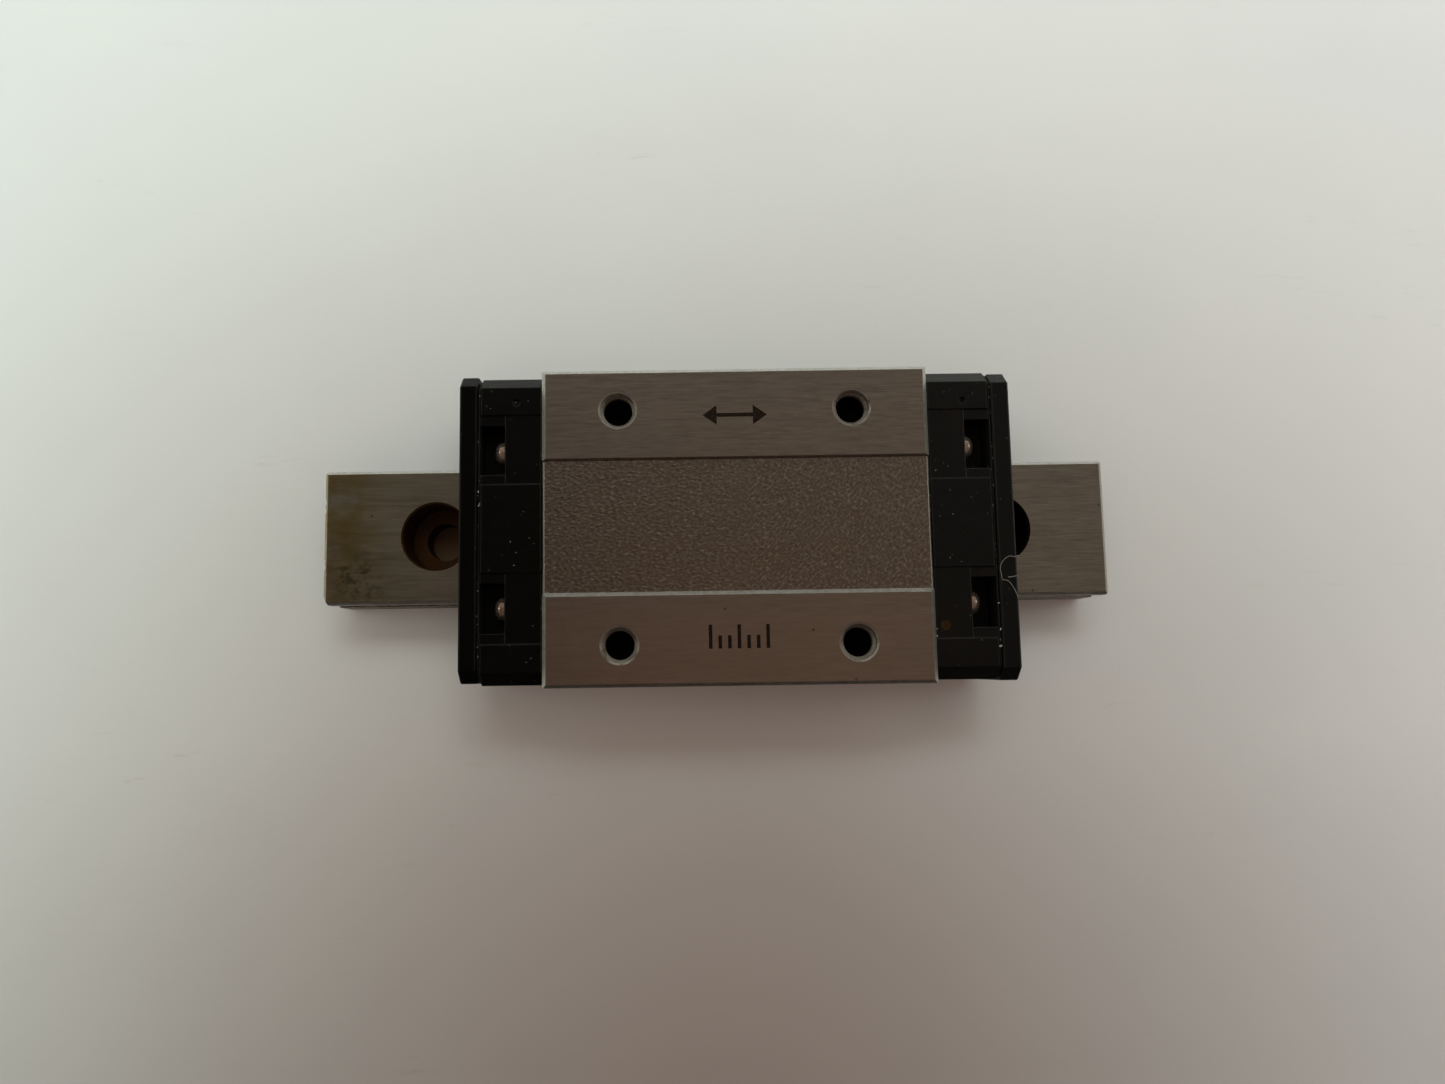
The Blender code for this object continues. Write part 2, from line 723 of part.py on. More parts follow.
def build_return_guide(label, side_sign, flank_sign, material, parts, cutters):
    """A half spool whose hollow rim turns the balls from one row to the other."""
    reach = math.degrees(math.asin(GUIDE_HALF_HEIGHT / GROOVE_RADIUS))
    rim = arc((TURN_RADIUS, 0.0), GROOVE_RADIUS, 180.0 - reach, 180.0 + reach, 2 * GROOVE_STEPS)
    profile = [(0.0, GUIDE_HALF_HEIGHT)] + rim + [(0.0, -GUIDE_HALF_HEIGHT)]
    x = CARRIAGE_X + side_sign * CAP_START
    y = flank_sign * CIRCUIT_CENTRE_Y
    placement = Matrix.Translation((x, y, BALL_Z))
    guide = turned(f"return_guide_{label}", profile, GUIDE_STEPS, placement, material, parts)
    low, high = x_span(side_sign, CAP_START - 2 * TURN_RADIUS, CAP_START)
    away = box(
        f"guide_half_{label}",
        (low, y - 2 * TURN_RADIUS, 0.0),
        (high, y + 2 * TURN_RADIUS, BALL_Z * 2),
        None,
        cutters,
    )
    cut(guide, away)


def build_cap_screw(label, side_sign, flank_sign, material, parts, cutters):
    """A domed cross-head screw whose head stands in the cap's window."""
    dome = (
        (0.0, SCREW_HEAD_HEIGHT),
        (0.5 * SCREW_HEAD_RADIUS, 0.93 * SCREW_HEAD_HEIGHT),
        (0.82 * SCREW_HEAD_RADIUS, 0.7 * SCREW_HEAD_HEIGHT),
        (SCREW_HEAD_RADIUS, 0.35 * SCREW_HEAD_HEIGHT),
        (SCREW_HEAD_RADIUS, 0.0),
        (SCREW_SHANK_RADIUS, 0.0),
    )
    point = SCREW_SHANK_RADIUS / 2
    tip = (
        (SCREW_SHANK_RADIUS, point - SCREW_LENGTH),
        (SCREW_SHANK_RADIUS - point, -SCREW_LENGTH),
        (0.0, -SCREW_LENGTH),
    )
    seat = CAP_END - WINDOW_DEPTH_X + SEAM_GAP
    x = CARRIAGE_X + side_sign * seat
    turn = Matrix.Rotation(side_sign * math.pi / 2, 4, "Y")
    placement = Matrix.Translation((x, flank_sign * SCREW_Y, SCREW_Z)) @ turn
    screw = turned(f"cap_screw_{label}", dome + tip, SMALL_HOLE_SEGMENTS, placement, material, parts)
    crown = seat + SCREW_HEAD_HEIGHT
    low, high = x_span(side_sign, crown - CROSS_DEPTH, crown + CROSS_DEPTH)
    arms = (("level", CROSS_LENGTH, CROSS_WIDTH), ("upright", CROSS_WIDTH, CROSS_LENGTH))
    for arm, width, height in arms:
        y = flank_sign * SCREW_Y
        slot = box(
            f"cross_{arm}_{label}",
            (low, y - width / 2, SCREW_Z - height / 2),
            (high, y + width / 2, SCREW_Z + height / 2),
            None,
            cutters,
        )
        cut(screw, slot)


def build_retaining_wire(flank, flank_sign, material, parts):
    """A wire in the groove's relief, its ends turned outwards into the end caps."""
    path = []
    for side_sign in (-1, 1):
        corner = (side_sign * (WIRE_BEND_X - WIRE_BEND_RADIUS), WIRE_Y + WIRE_BEND_RADIUS)
        bend = arc(corner, WIRE_BEND_RADIUS, -90.0, -90.0 + side_sign * 90.0, GROOVE_STEPS)
        leg = bend + [(side_sign * WIRE_BEND_X, WIRE_ANCHOR_Y)]
        path += leg if side_sign > 0 else reversed(leg)
    curve = bpy.data.curves.new(f"wire_path_{flank}", "CURVE")
    curve.dimensions = "3D"
    curve.bevel_depth = WIRE_RADIUS / MM
    curve.bevel_resolution = 2
    curve.use_fill_caps = True
    spline = curve.splines.new("POLY")
    spline.points.add(len(path) - 1)
    for point, (x, y) in zip(spline.points, path):
        point.co = (x / MM, flank_sign * y / MM, 0.0, 1.0)
    source = bpy.data.objects.new(f"wire_source_{flank}", curve)
    parts.objects.link(source)
    placement = Matrix.Translation((CARRIAGE_X, 0.0, BALL_Z))
    solid_from_curve(f"retaining_wire_{flank}", source, placement, material, parts)


def ball_mesh():
    work = bmesh.new()
    bmesh.ops.create_uvsphere(
        work,
        u_segments=BALL_SEGMENTS,
        v_segments=BALL_RINGS,
        radius=BALL_RADIUS,
    )
    mesh = finish_mesh("ball", work)
    shade(mesh, True)
    return mesh


def build_ball_row(label, count, centre_x, y, mesh, material, parts):
    """A row of separate balls along X, numbered from the left."""
    for number in range(count):
        x = centre_x + (number - (count - 1) / 2) * BALL_PITCH
        placement = Matrix.Translation((x, y, BALL_Z))
        add_object(f"{label}_{number + 1:02d}", mesh, material, parts, placement)


def build_balls(parts):
    """Loaded balls stand half as far from the rail's middle as the carriage does."""
    mesh = ball_mesh()
    material = ball_steel()
    loaded_x = 0.5 * CARRIAGE_X
    return_x = 1.5 * CARRIAGE_X
    for flank, sign in FLANKS.items():
        loaded = (f"loaded_ball_{flank}", LOADED_COUNT, loaded_x, sign * LOADED_Y)
        returning = (f"return_ball_{flank}", RETURN_COUNT, return_x, sign * RETURN_Y)
        build_ball_row(*loaded, mesh, material, parts)
        build_ball_row(*returning, mesh, material, parts)


def build_carriage(parts, cutters):
    build_block(parts, cutters)
    cap_material = cap_plastic()
    plate_material = plate_plastic()
    seal_material = seal_rubber()
    guide_material = guide_plastic()
    screw_material = screw_steel()
    wire_material = wire_steel()
    for side, side_sign in SIDES.items():
        build_end_cap(side, side_sign, cap_material, parts, cutters)
        build_end_seal(side, side_sign, seal_material, parts, cutters)
        build_end_plate(side, side_sign, plate_material, parts, cutters)
        for flank, flank_sign in FLANKS.items():
            label = f"{side}_{flank}"
            build_return_guide(label, side_sign, flank_sign, guide_material, parts, cutters)
            build_cap_screw(label, side_sign, flank_sign, screw_material, parts, cutters)
    for flank, flank_sign in FLANKS.items():
        build_retaining_wire(flank, flank_sign, wire_material, parts)


def main():
    clear_scene()
    parts = new_collection("linear_guide_carriage")
    cutters = new_collection("cutters")
    build_rail(parts, cutters)
    build_carriage(parts, cutters)
    build_balls(parts)


main()
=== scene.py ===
"""Looks of the miniature linear guide: ground steel, moulded black plastic, rusted screw holes."""

import json
import math
import random

import bmesh
import bpy
import numpy as np
from mathutils import Matrix, Vector


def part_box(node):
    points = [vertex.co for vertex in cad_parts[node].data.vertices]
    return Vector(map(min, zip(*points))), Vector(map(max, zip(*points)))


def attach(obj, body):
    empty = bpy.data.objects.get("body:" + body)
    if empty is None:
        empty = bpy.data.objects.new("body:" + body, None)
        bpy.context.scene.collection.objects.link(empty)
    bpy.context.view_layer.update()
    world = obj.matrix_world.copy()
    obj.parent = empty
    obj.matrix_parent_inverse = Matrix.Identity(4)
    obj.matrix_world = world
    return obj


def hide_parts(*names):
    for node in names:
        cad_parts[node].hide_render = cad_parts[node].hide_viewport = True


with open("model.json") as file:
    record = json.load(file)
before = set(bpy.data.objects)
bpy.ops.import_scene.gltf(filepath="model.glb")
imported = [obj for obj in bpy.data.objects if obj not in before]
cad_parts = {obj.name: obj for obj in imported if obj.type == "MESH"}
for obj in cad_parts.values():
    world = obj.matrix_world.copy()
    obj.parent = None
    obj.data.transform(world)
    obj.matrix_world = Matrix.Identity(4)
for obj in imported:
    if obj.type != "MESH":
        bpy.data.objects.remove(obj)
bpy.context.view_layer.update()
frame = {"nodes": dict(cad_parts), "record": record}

MM = 0.001
SIDES = {"left": -1, "right": 1}
FLANKS = {"near": -1, "far": 1}


# ---------------------------------------------------------------- measures, in millimetres


def box_mm(node):
    """Lowest and highest corner of a CAD node, in millimetres."""
    low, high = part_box(node)
    return np.array(low) / MM, np.array(high) / MM


RAIL_LOW, RAIL_HIGH = box_mm("rail")
BLOCK_LOW, BLOCK_HIGH = box_mm("carriage_block")
CENTRE_X = float(BLOCK_LOW[0] + BLOCK_HIGH[0]) / 2
TOP = float(BLOCK_HIGH[2])

ROOM_FILL = (0.20, 0.152, 0.132)
BACKDROP = (0.66, 0.66, 0.64)
ROOM_HORIZON = (
    (0.0, (0.018, 0.014, 0.012)),
    (0.32, (0.040, 0.034, 0.027)),
    (0.5, (0.30, 0.295, 0.235)),
    (1.0, (0.62, 0.65, 0.61)),
)
ROOM_UPPER = ((0.0, (0.09, 0.062, 0.05)), (0.5, (0.13, 0.105, 0.085)), (1.0, (0.20, 0.18, 0.155)))
ROOM_GLARES = (
    ((-0.22, 0.47, 0.86), 7.0, (0.36, 0.36, 0.33)),
    ((0.16, 0.47, 0.87), 7.0, (0.36, 0.36, 0.33)),
    ((-0.80, 0.15, 0.58), 8.0, (1.7, 1.7, 1.55)),
    ((0.80, 0.15, 0.58), 8.0, (1.7, 1.65, 1.6)),
)
CAMERA_LENS = 27.245
CAMERA_SHIFT = (0.0339, -0.0023)
CAMERA_TILT = -0.1163
CAMERA_TURN = 0.0144
CAMERA_PLACE = (CENTRE_X - 5.375, -11.82, TOP + 91.50)

RECESS_SCRATCHES = (((15.3, -3.3), (16.0, -4.0)), ((15.6, -2.6), (15.9, -3.4)), ((4.2, 1.7), (5.6, 2.0)))
GATE_MARKS = ((-17.1, 10.88, "left"), (21.2, 10.55, "right"))
RUST_SPOT = (19.0, -8.7)
HAIR_LONG = ((22.28, -4.87, 12.53), (22.16, -3.93, 12.53), (22.45, -3.31, 12.53))
HAIR_LONG += ((22.95, -2.97, 12.53), (23.40, -3.01, 12.55), (23.76, -2.91, 12.50))
HAIR_SHORT = ((22.23, -4.95, 12.53), (22.76, -5.05, 12.53), (23.18, -5.59, 12.54), (23.57, -6.48, 12.53))
HAIR_STUB = ((22.78, -4.74, 12.53), (23.18, -4.70, 12.53), (23.58, -4.62, 12.53))
SEAM_LINT = ((21.9, -6.9, 0.08), (21.95, -9.1, 0.06), (21.9, -10.5, 0.07), (16.62, -9.0, 0.06))
SEAM_LINT += ((16.62, -9.6, 0.05), (16.9, -0.6, 0.07), (-21.95, 3.2, 0.04), (-21.95, 2.0, 0.03))
# Colour of the painted highlight along the plastic's edges.
EDGE_HIGHLIGHT_PLASTIC = (0.070, 0.070, 0.063)
SHADE_NEAR = (0.138, 0.080, 0.052)
SHADE_FAR = (0.112, 0.084, 0.060)
SHADE_DIFFUSE = (0.42, 0.31, 0.265)

BLOCK_HALF_WIDTH = 13.5
BLOCK_UNDERSIDE = 3.0
RECESS_HALF_WIDTH = 5.72
RECESS_SURFACE = TOP - 0.36
RECESS_FLOOR = TOP - 0.62
GRAIN_STEP = 0.065
TAP_AWAY = 10.0
THREAD_TOP = TOP - 0.42
THREAD_BOTTOM = TOP - 3.3
THREAD_PITCH = 0.5
THREAD_ROOT = 1.5
THREAD_CREST = 1.24

RAIL_HALF_WIDTH = 6.0
RAIL_TOP = 7.5
RAIL_HOLES = (-25.0, 0.0, 25.0)
RAIL_BORE = 1.75
COUNTERBORE = 3.0
COUNTERBORE_FLOOR = 3.0
RAIL_CORNERS = ((-1, -1, 0.4, 0.8), (-1, 1, 0.2, 0.25), (1, -1, 0.15, 0.15), (1, 1, 0.15, 0.15))
RAIL_NICKS = ((3.35, 0.62, -0.34), (2.5, 0.5, -0.3), (-2.55, 0.5, -0.22), (-2.1, 0.3, -0.16))

CAP_INNER = 16.55
CAP_OUTER = 21.8
CAP_HALF_WIDTH = 13.25
CAP_TOP = 12.5
CAP_BOTTOM = 3.3
CAP_RUN = 1.05
CAP_DROP = 1.25
BAND_INNER = 3.8
BAND_OUTER = 9.8
BAND_DEPTH = 0.10
WINDOW_WALL = 19.68
WINDOW_INNER = 4.65
WINDOW_OUTER = 8.9
WINDOW_FLOOR = 9.3
SHELF_DEPTH = 0.2
PLATE_INNER = 22.06
PLATE_OUTER = 23.6
PLATE_SHIFT = {"left": 0.2, "right": -0.12}
SCREW_Y = 6.77
SCREW_Z = 10.6
HEAD_RADIUS = 1.0
HEAD_HEIGHT = 1.05
GREASE_Z = 10.3
GREASE_RADIUS = 0.7

GROOVE_Y = 6.3
GROOVE_Z = 4.9
GROOVE_RADIUS = 1.3
RETURN_Y = 10.1
BALL_RADIUS = 1.19
CHANNEL_HALF_WIDTH = 6.5
CHANNEL_TOP = 8.1


# ---------------------------------------------------------------- outlines


def rounded(corners, shrink=0.0, steps=3):
    """A closed outline from (y, z) or (y, z, radius) corners, moved inwards by shrink.

    Corners run counter-clockwise and are worked as complex numbers, y + iz. The count of points
    is the same for every shrink.
    """
    points = np.array([complex(*corner[:2]) for corner in corners])
    radii = [corner[2] if len(corner) > 2 else 0.0 for corner in corners]
    before = points - np.roll(points, 1)
    before /= abs(before)
    after = np.roll(before, -1)
    middle = 1j * (before + after)
    moved = points + middle / (middle * (1j * before).conj()).real * shrink
    result = []
    for index, (point, radius) in enumerate(zip(moved, radii)):
        if radius <= 0.0:
            result.append(point)
            continue
        back = moved[index - 1] - point
        ahead = moved[(index + 1) % len(moved)] - point
        longest = 0.45 * min(abs(back), abs(ahead))
        back /= abs(back)
        ahead /= abs(ahead)
        convex = (before[index].conj() * after[index]).imag > 0
        radius = max(radius - shrink, 0.012) if convex else radius + shrink
        half_angle = math.acos(np.clip((back.conj() * ahead).real, -1.0, 1.0)) / 2
        reach = min(radius / math.tan(half_angle), longest)
        bisector = (back + ahead) / abs(back + ahead)
        centre = point + bisector * reach / math.cos(half_angle)
        start = point + back * reach - centre
        turn = np.angle((point + ahead * reach - centre) / start)
        result += [centre + start * np.exp(1j * turn * step / steps) for step in range(steps + 1)]
    return [(float(p.real), float(p.imag)) for p in result]


def arc(centre, radius, start, end, steps):
    """Points of an arc in degrees from +Y towards +Z, both ends included."""
    angles = [math.radians(start + (end - start) * step / steps) for step in range(steps + 1)]
    return [(centre[0] + radius * math.cos(a), centre[1] + radius * math.sin(a)) for a in angles]


def both_sides(half, other=None):
    """Closes an outline given on the +Y side with its mirror image, or with the mirror image of other."""
    return half + [(-corner[0], *corner[1:]) for corner in reversed(other or half)]


def opening_angle(radius, wall):
    """Angle at which the ball groove's circle meets a wall at y = wall, in degrees."""
    return math.degrees(math.acos((wall - GROOVE_Y) / radius))


def signed_area(outline):
    """Positive for an outline that runs counter-clockwise."""
    pairs = zip(outline, outline[1:] + outline[:1])
    return sum(start[0] * end[1] - end[0] * start[1] for start, end in pairs) / 2


# ---------------------------------------------------------------- solids


def new_object(name, mesh, material=None):
    item = bpy.data.objects.new(name, mesh)
    bpy.context.scene.collection.objects.link(item)
    if material:
        mesh.materials.append(material)
    return item


def mesh_of(name, work):
    """A mesh made from a bmesh, which is freed."""
    mesh = bpy.data.meshes.new(name)
    work.to_mesh(mesh)
    work.free()
    return mesh


def solid(name, verts, faces, material=None):
    """An object from points and faces, its faces turned outwards."""
    mesh = bpy.data.meshes.new(name)
    mesh.from_pydata([tuple(v) for v in verts], [], faces)
    mesh.validate()
    work = bmesh.new()
    work.from_mesh(mesh)
    bmesh.ops.recalc_face_normals(work, faces=work.faces)
    work.to_mesh(mesh)
    work.free()
    return new_object(name, mesh, material)


def skin(rings, count, base=0):
    """Faces round a stack of rings of count points each, from point base, closed at both ends."""
    faces = []
    for level in range(rings - 1):
        start = base + level * count
        for index in range(count):
            after = (index + 1) % count
            faces.append((start + index, start + after, start + count + after, start + count + index))
    last = base + (rings - 1) * count
    faces.append(tuple(reversed(range(base, base + count))))
    faces.append(tuple(range(last, last + count)))
    return faces


def grid(rows, columns):
    """Faces of a sheet of points stored row by row."""
    corners = [r * columns + c for r in range(rows - 1) for c in range(columns - 1)]
    return [(a, a + 1, a + columns + 1, a + columns) for a in corners]


def to_metres(item):
    item.data.transform(Matrix.Diagonal((MM, MM, MM, 1.0)))


def prism(name, corners, low, high, edge=0.0, material=None):
    """A (y, z) outline carried along X, its two end faces edged with a chamfer."""
    corners = list(corners)
    if signed_area(corners) < 0:
        corners.reverse()
    rings = [(low, 0.0), (high, 0.0)]
    if edge > 0.0:
        rings = [(low, edge), (low + edge, 0.0), (high - edge, 0.0), (high, edge)]
    verts = []
    for x, shrink in rings:
        ring = rounded(corners, shrink)
        verts += [(x, y, z) for y, z in ring]
    return solid(name, verts, skin(len(rings), len(verts) // len(rings)), material)


AXES = {
    "X": Matrix.Rotation(math.pi / 2, 4, "Y"),
    "-X": Matrix.Rotation(-math.pi / 2, 4, "Y"),
    "Z": Matrix.Identity(4),
}


def lathe(name, profile, origin, axis="Z", steps=48, material=None):
    """A profile of (radius, height) points turned about an axis through origin."""
    verts = []
    rows = []
    for radius, height in profile:
        if radius <= 1e-6:
            rows.append([len(verts)])
            verts.append((0.0, 0.0, height))
            continue
        row = []
        for step in range(steps):
            angle = 2 * math.pi * step / steps
            row.append(len(verts))
            verts.append((radius * math.cos(angle), radius * math.sin(angle), height))
        rows.append(row)
    faces = []
    for lower, upper in zip(rows, rows[1:]):
        for step in range(steps):
            after = (step + 1) % steps
            ring = [lower[step % len(lower)], lower[after % len(lower)]]
            ring += [upper[after % len(upper)], upper[step % len(upper)]]
            faces.append(tuple(dict.fromkeys(ring)))
    faces = [face for face in faces if len(face) > 2]
    for row, flip in ((rows[0], True), (rows[-1], False)):
        if len(row) > 1:
            faces.append(tuple(reversed(row)) if flip else tuple(row))
    item = solid(name, verts, faces, material)
    item.data.transform(Matrix.Translation(origin) @ AXES[axis])
    return item


def block(name, low, high, edge=0.0, material=None):
    """A box with all its edges chamfered."""
    work = bmesh.new()
    bmesh.ops.create_cube(work, size=1.0)
    size = Vector(high) - Vector(low)
    bmesh.ops.scale(work, vec=size, verts=work.verts)
    bmesh.ops.translate(work, vec=(Vector(low) + Vector(high)) / 2, verts=work.verts)
    if edge > 0.0:
        bmesh.ops.bevel(
            work, geom=work.edges[:], offset=edge, segments=2, profile=0.5, affect="EDGES"
        )
    return new_object(name, mesh_of(name, work), material)


def upright(name, outlines, low, high, material):
    """Plan outlines of (x, y) points carried up from low to high."""
    verts = []
    faces = []
    for outline in outlines:
        faces += skin(2, len(outline), len(verts))
        verts += [(x, y, z) for z in (low, high) for x, y in outline]
    return solid(name, verts, faces, material)


def end_grooves(label, low, high, half_length, leg, z, material):
    """Cutters that chamfer the top edges of a bar's two ends."""
    tools = []
    for sign, x in ((-1, low), (1, high)):
        corner = (leg, half_length, leg)
        wedge = block(f"{label}_{sign}", tuple(-c for c in corner), corner, 0.0, material)
        wedge.data.transform(Matrix.Rotation(math.radians(45.0), 4, "Y"))
        wedge.data.transform(Matrix.Translation((x, 0.0, z)))
        tools.append(wedge)
    return tools


def slot_numbers(mesh, materials):
    """Adds the materials a mesh lacks and returns each one's slot by name."""
    for material in materials:
        if material.name not in mesh.materials:
            mesh.materials.append(material)
    return {material.name: index for index, material in enumerate(mesh.materials)}


def carve(target, tools):
    """Cuts tools out of a solid and removes them."""
    for tool in tools:
        change = target.modifiers.new(tool.name, "BOOLEAN")
        change.operation = "DIFFERENCE"
        change.solver = "EXACT"
        change.material_mode = "TRANSFER"
        change.object = tool
    apply_modifiers(target)
    for tool in tools:
        bpy.data.objects.remove(tool)


def apply_modifiers(item):
    bpy.context.view_layer.update()
    evaluated = item.evaluated_get(bpy.context.evaluated_depsgraph_get())
    mesh = bpy.data.meshes.new_from_object(evaluated)
    item.modifiers.clear()
    item.data = mesh


def finish_piece(item, body, nodes=(), smooth=32.0):
    """Scales a finished solid to metres, sets its shading and hangs it on its body."""
    work = bmesh.new()
    work.from_mesh(item.data)
    bmesh.ops.remove_doubles(work, verts=work.verts, dist=0.0005)
    bmesh.ops.dissolve_degenerate(work, edges=work.edges, dist=0.0005)
    work.to_mesh(item.data)
    work.free()
    to_metres(item)
    item.data.shade_smooth()
    item.data.set_sharp_from_angle(angle=math.radians(smooth))
    weights = item.modifiers.new("weighted_normals", "WEIGHTED_NORMAL")
    weights.mode = "FACE_AREA"
    weights.keep_sharp = True
    weights.weight = 60
    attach(item, body)
    if nodes:
        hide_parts(*nodes)
    return item


# ---------------------------------------------------------------- material nodes


def toned(colour, red, green=None, blue=None):
    """A colour times one factor, or times one for each channel, at most 1."""
    factors = (red, red if green is None else green, red if blue is None else blue)
    return tuple(min(1.0, c * factor) for c, factor in zip(colour, factors))


class Nodes:
    """Short names for building one node tree: a new material's, or the world's."""

    def __init__(self, name, world=None):
        self.owner = world or bpy.data.materials.new(name)
        self.owner.use_nodes = True
        self.tree = self.owner.node_tree
        self.shader = self.tree.nodes["Background" if world else "Principled BSDF"]
        self.texture = self.tree.nodes.new("ShaderNodeTexCoord")
        self.coords = self.texture.outputs["Object"]

    def feed(self, socket, value):
        """Links a socket to a socket, or sets its value; a colour gets an alpha of 1."""
        if isinstance(value, bpy.types.NodeSocket):
            self.tree.links.new(value, socket)
        elif socket.type == "RGBA":
            socket.default_value = (*value, 1.0)
        else:
            socket.default_value = value

    def add(self, kind, settings=None, **inputs):
        """A new node; its inputs go by name, with underscores for spaces."""
        node = self.tree.nodes.new("ShaderNode" + kind)
        for key, value in (settings or {}).items():
            setattr(node, key, value)
        for key, value in inputs.items():
            self.feed(node.inputs[key.replace("_", " ")], value)
        return node

    def set(self, **values):
        """Sets shader inputs by name and returns the material."""
        for key, value in values.items():
            self.feed(self.shader.inputs[key.replace("_", " ")], value)
        return self.owner

    def mapped(self, scale, offset=(0.0, 0.0, 0.0), source=None):
        """Object coordinates, or source, times scale, given per millimetre."""
        scale = scale if isinstance(scale, tuple) else (scale,) * 3
        scale = tuple(s / MM for s in scale)
        return self.add("Mapping", Scale=scale, Location=offset, Vector=source or self.coords).outputs[0]

    def noise(self, scale, detail=3.0, rough=0.5, offset=(0.0, 0.0, 0.0), source=None):
        place = self.mapped(scale, offset, source)
        return self.add("TexNoise", Scale=1.0, Detail=detail, Roughness=rough, Vector=place).outputs["Fac"]

    def dashes(self, scale, lean):
        """Noise drawn out into short dashes that lean by an angle in the XY plane."""
        turned = self.add("Mapping", Rotation=(0.0, 0.0, lean), Vector=self.coords).outputs[0]
        return self.noise(scale, 1.5, source=turned)

    def voronoi(self, scale, offset=(0.0, 0.0, 0.0)):
        return self.add("TexVoronoi", Scale=1.0, Vector=self.mapped(scale, offset)).outputs["Distance"]

    def ramp(self, value, low, high, start=0.0, end=1.0):
        """Maps value between low and high to start and end, clamped."""
        node = self.add("MapRange", {"clamp": True}, Value=value, From_Min=low, From_Max=high)
        self.feed(node.inputs["To Min"], start)
        self.feed(node.inputs["To Max"], end)
        return node.outputs["Result"]

    def math(self, operation, a, b=0.0):
        node = self.add("Math", {"operation": operation})
        for socket, value in zip(node.inputs, (a, b)):
            self.feed(socket, value)
        return node.outputs["Value"]

    def times(self, a, b):
        return self.math("MULTIPLY", a, b)

    def plus(self, a, b):
        return self.math("ADD", a, b)

    def most(self, a, b):
        return self.math("MAXIMUM", a, b)

    def mix(self, factor, a, b):
        """Mixes two colours; each may be a tuple or a socket."""
        node = self.add("Mix", {"data_type": "RGBA"})
        for socket, value in zip([s for s in node.inputs if s.enabled], (factor, a, b)):
            self.feed(socket, value)
        return [s for s in node.outputs if s.enabled][0]

    def tint(self, colour, value, low, high, amount, target):
        """Moves a colour towards target, by up to amount as value runs from low to high."""
        return self.mix(self.ramp(value, low, high, 0.0, amount), colour, target)

    def bump(self, height, distance, strength=1.0, normal=None):
        """Bump with its depth in millimetres."""
        node = self.add("Bump", Strength=strength, Distance=distance * MM, Height=height)
        if normal:
            self.feed(node.inputs["Normal"], normal)
        return node.outputs["Normal"]

    def split(self, source, name):
        """One part of a vector."""
        return self.add("SeparateXYZ", Vector=source).outputs[name]

    def axis(self, name):
        """One object coordinate, in millimetres."""
        return self.split(self.mapped(1.0), name)

    def rays(self, kind):
        """1 for the rays of one kind, 0 for the rest."""
        return self.add("LightPath").outputs[f"Is {kind} Ray"]

    def facing_near(self):
        """1 on faces that look towards -Y, 0 on the rest."""
        normal = self.add("NewGeometry").outputs["True Normal"]
        return self.ramp(self.split(normal, "Y"), -0.25, -0.6)

    def rounded(self, radius):
        """A normal that runs round the edges, radius in millimetres."""
        return self.add("Bevel", {"samples": 4}, Radius=radius * MM).outputs["Normal"]

    def vector(self, operation, a, b=None, scale=None):
        """A vector operation; returns both its vector and its value."""
        node = self.add("VectorMath", {"operation": operation})
        for socket, value in zip(node.inputs, (a, b)):
            if value is not None:
                self.feed(socket, value)
        if scale is not None:
            self.feed(node.inputs["Scale"], scale)
        return node.outputs[0], node.outputs[1]

    def near_line(self, start, end, width):
        """1 on a line between two (x, y) points in millimetres, 0 beyond width from it."""
        flat = self.mapped((1.0, 1.0, 0.0))
        run = (end[0] - start[0], end[1] - start[1], 0.0)
        length = run[0] ** 2 + run[1] ** 2
        away, _ = self.vector("SUBTRACT", flat, (start[0], start[1], 0.0))
        _, along = self.vector("DOT_PRODUCT", away, run)
        along = self.ramp(along, 0.0, length) if length > 0.0 else self.ramp(along, -1.0, -2.0)
        foot, _ = self.vector("SCALE", run, None, along)
        gap, _ = self.vector("SUBTRACT", away, foot)
        _, distance = self.vector("LENGTH", gap)
        return self.ramp(distance, width, width * 0.35)

    def painted_edge_highlight(self, radius, sharpness=1.0):
        """Painted highlight: up to sharpness on edges that do not face -Y, 0 on flats."""
        bevel = self.rounded(radius)
        face = self.add("NewGeometry").outputs["Normal"]
        _, likeness = self.vector("DOT_PRODUCT", bevel, face)
        lit = self.ramp(self.split(bevel, "Y"), -0.35, -0.05)
        return self.times(self.ramp(likeness, 0.995, 0.80, 0.0, sharpness), lit)


# ---------------------------------------------------------------- materials


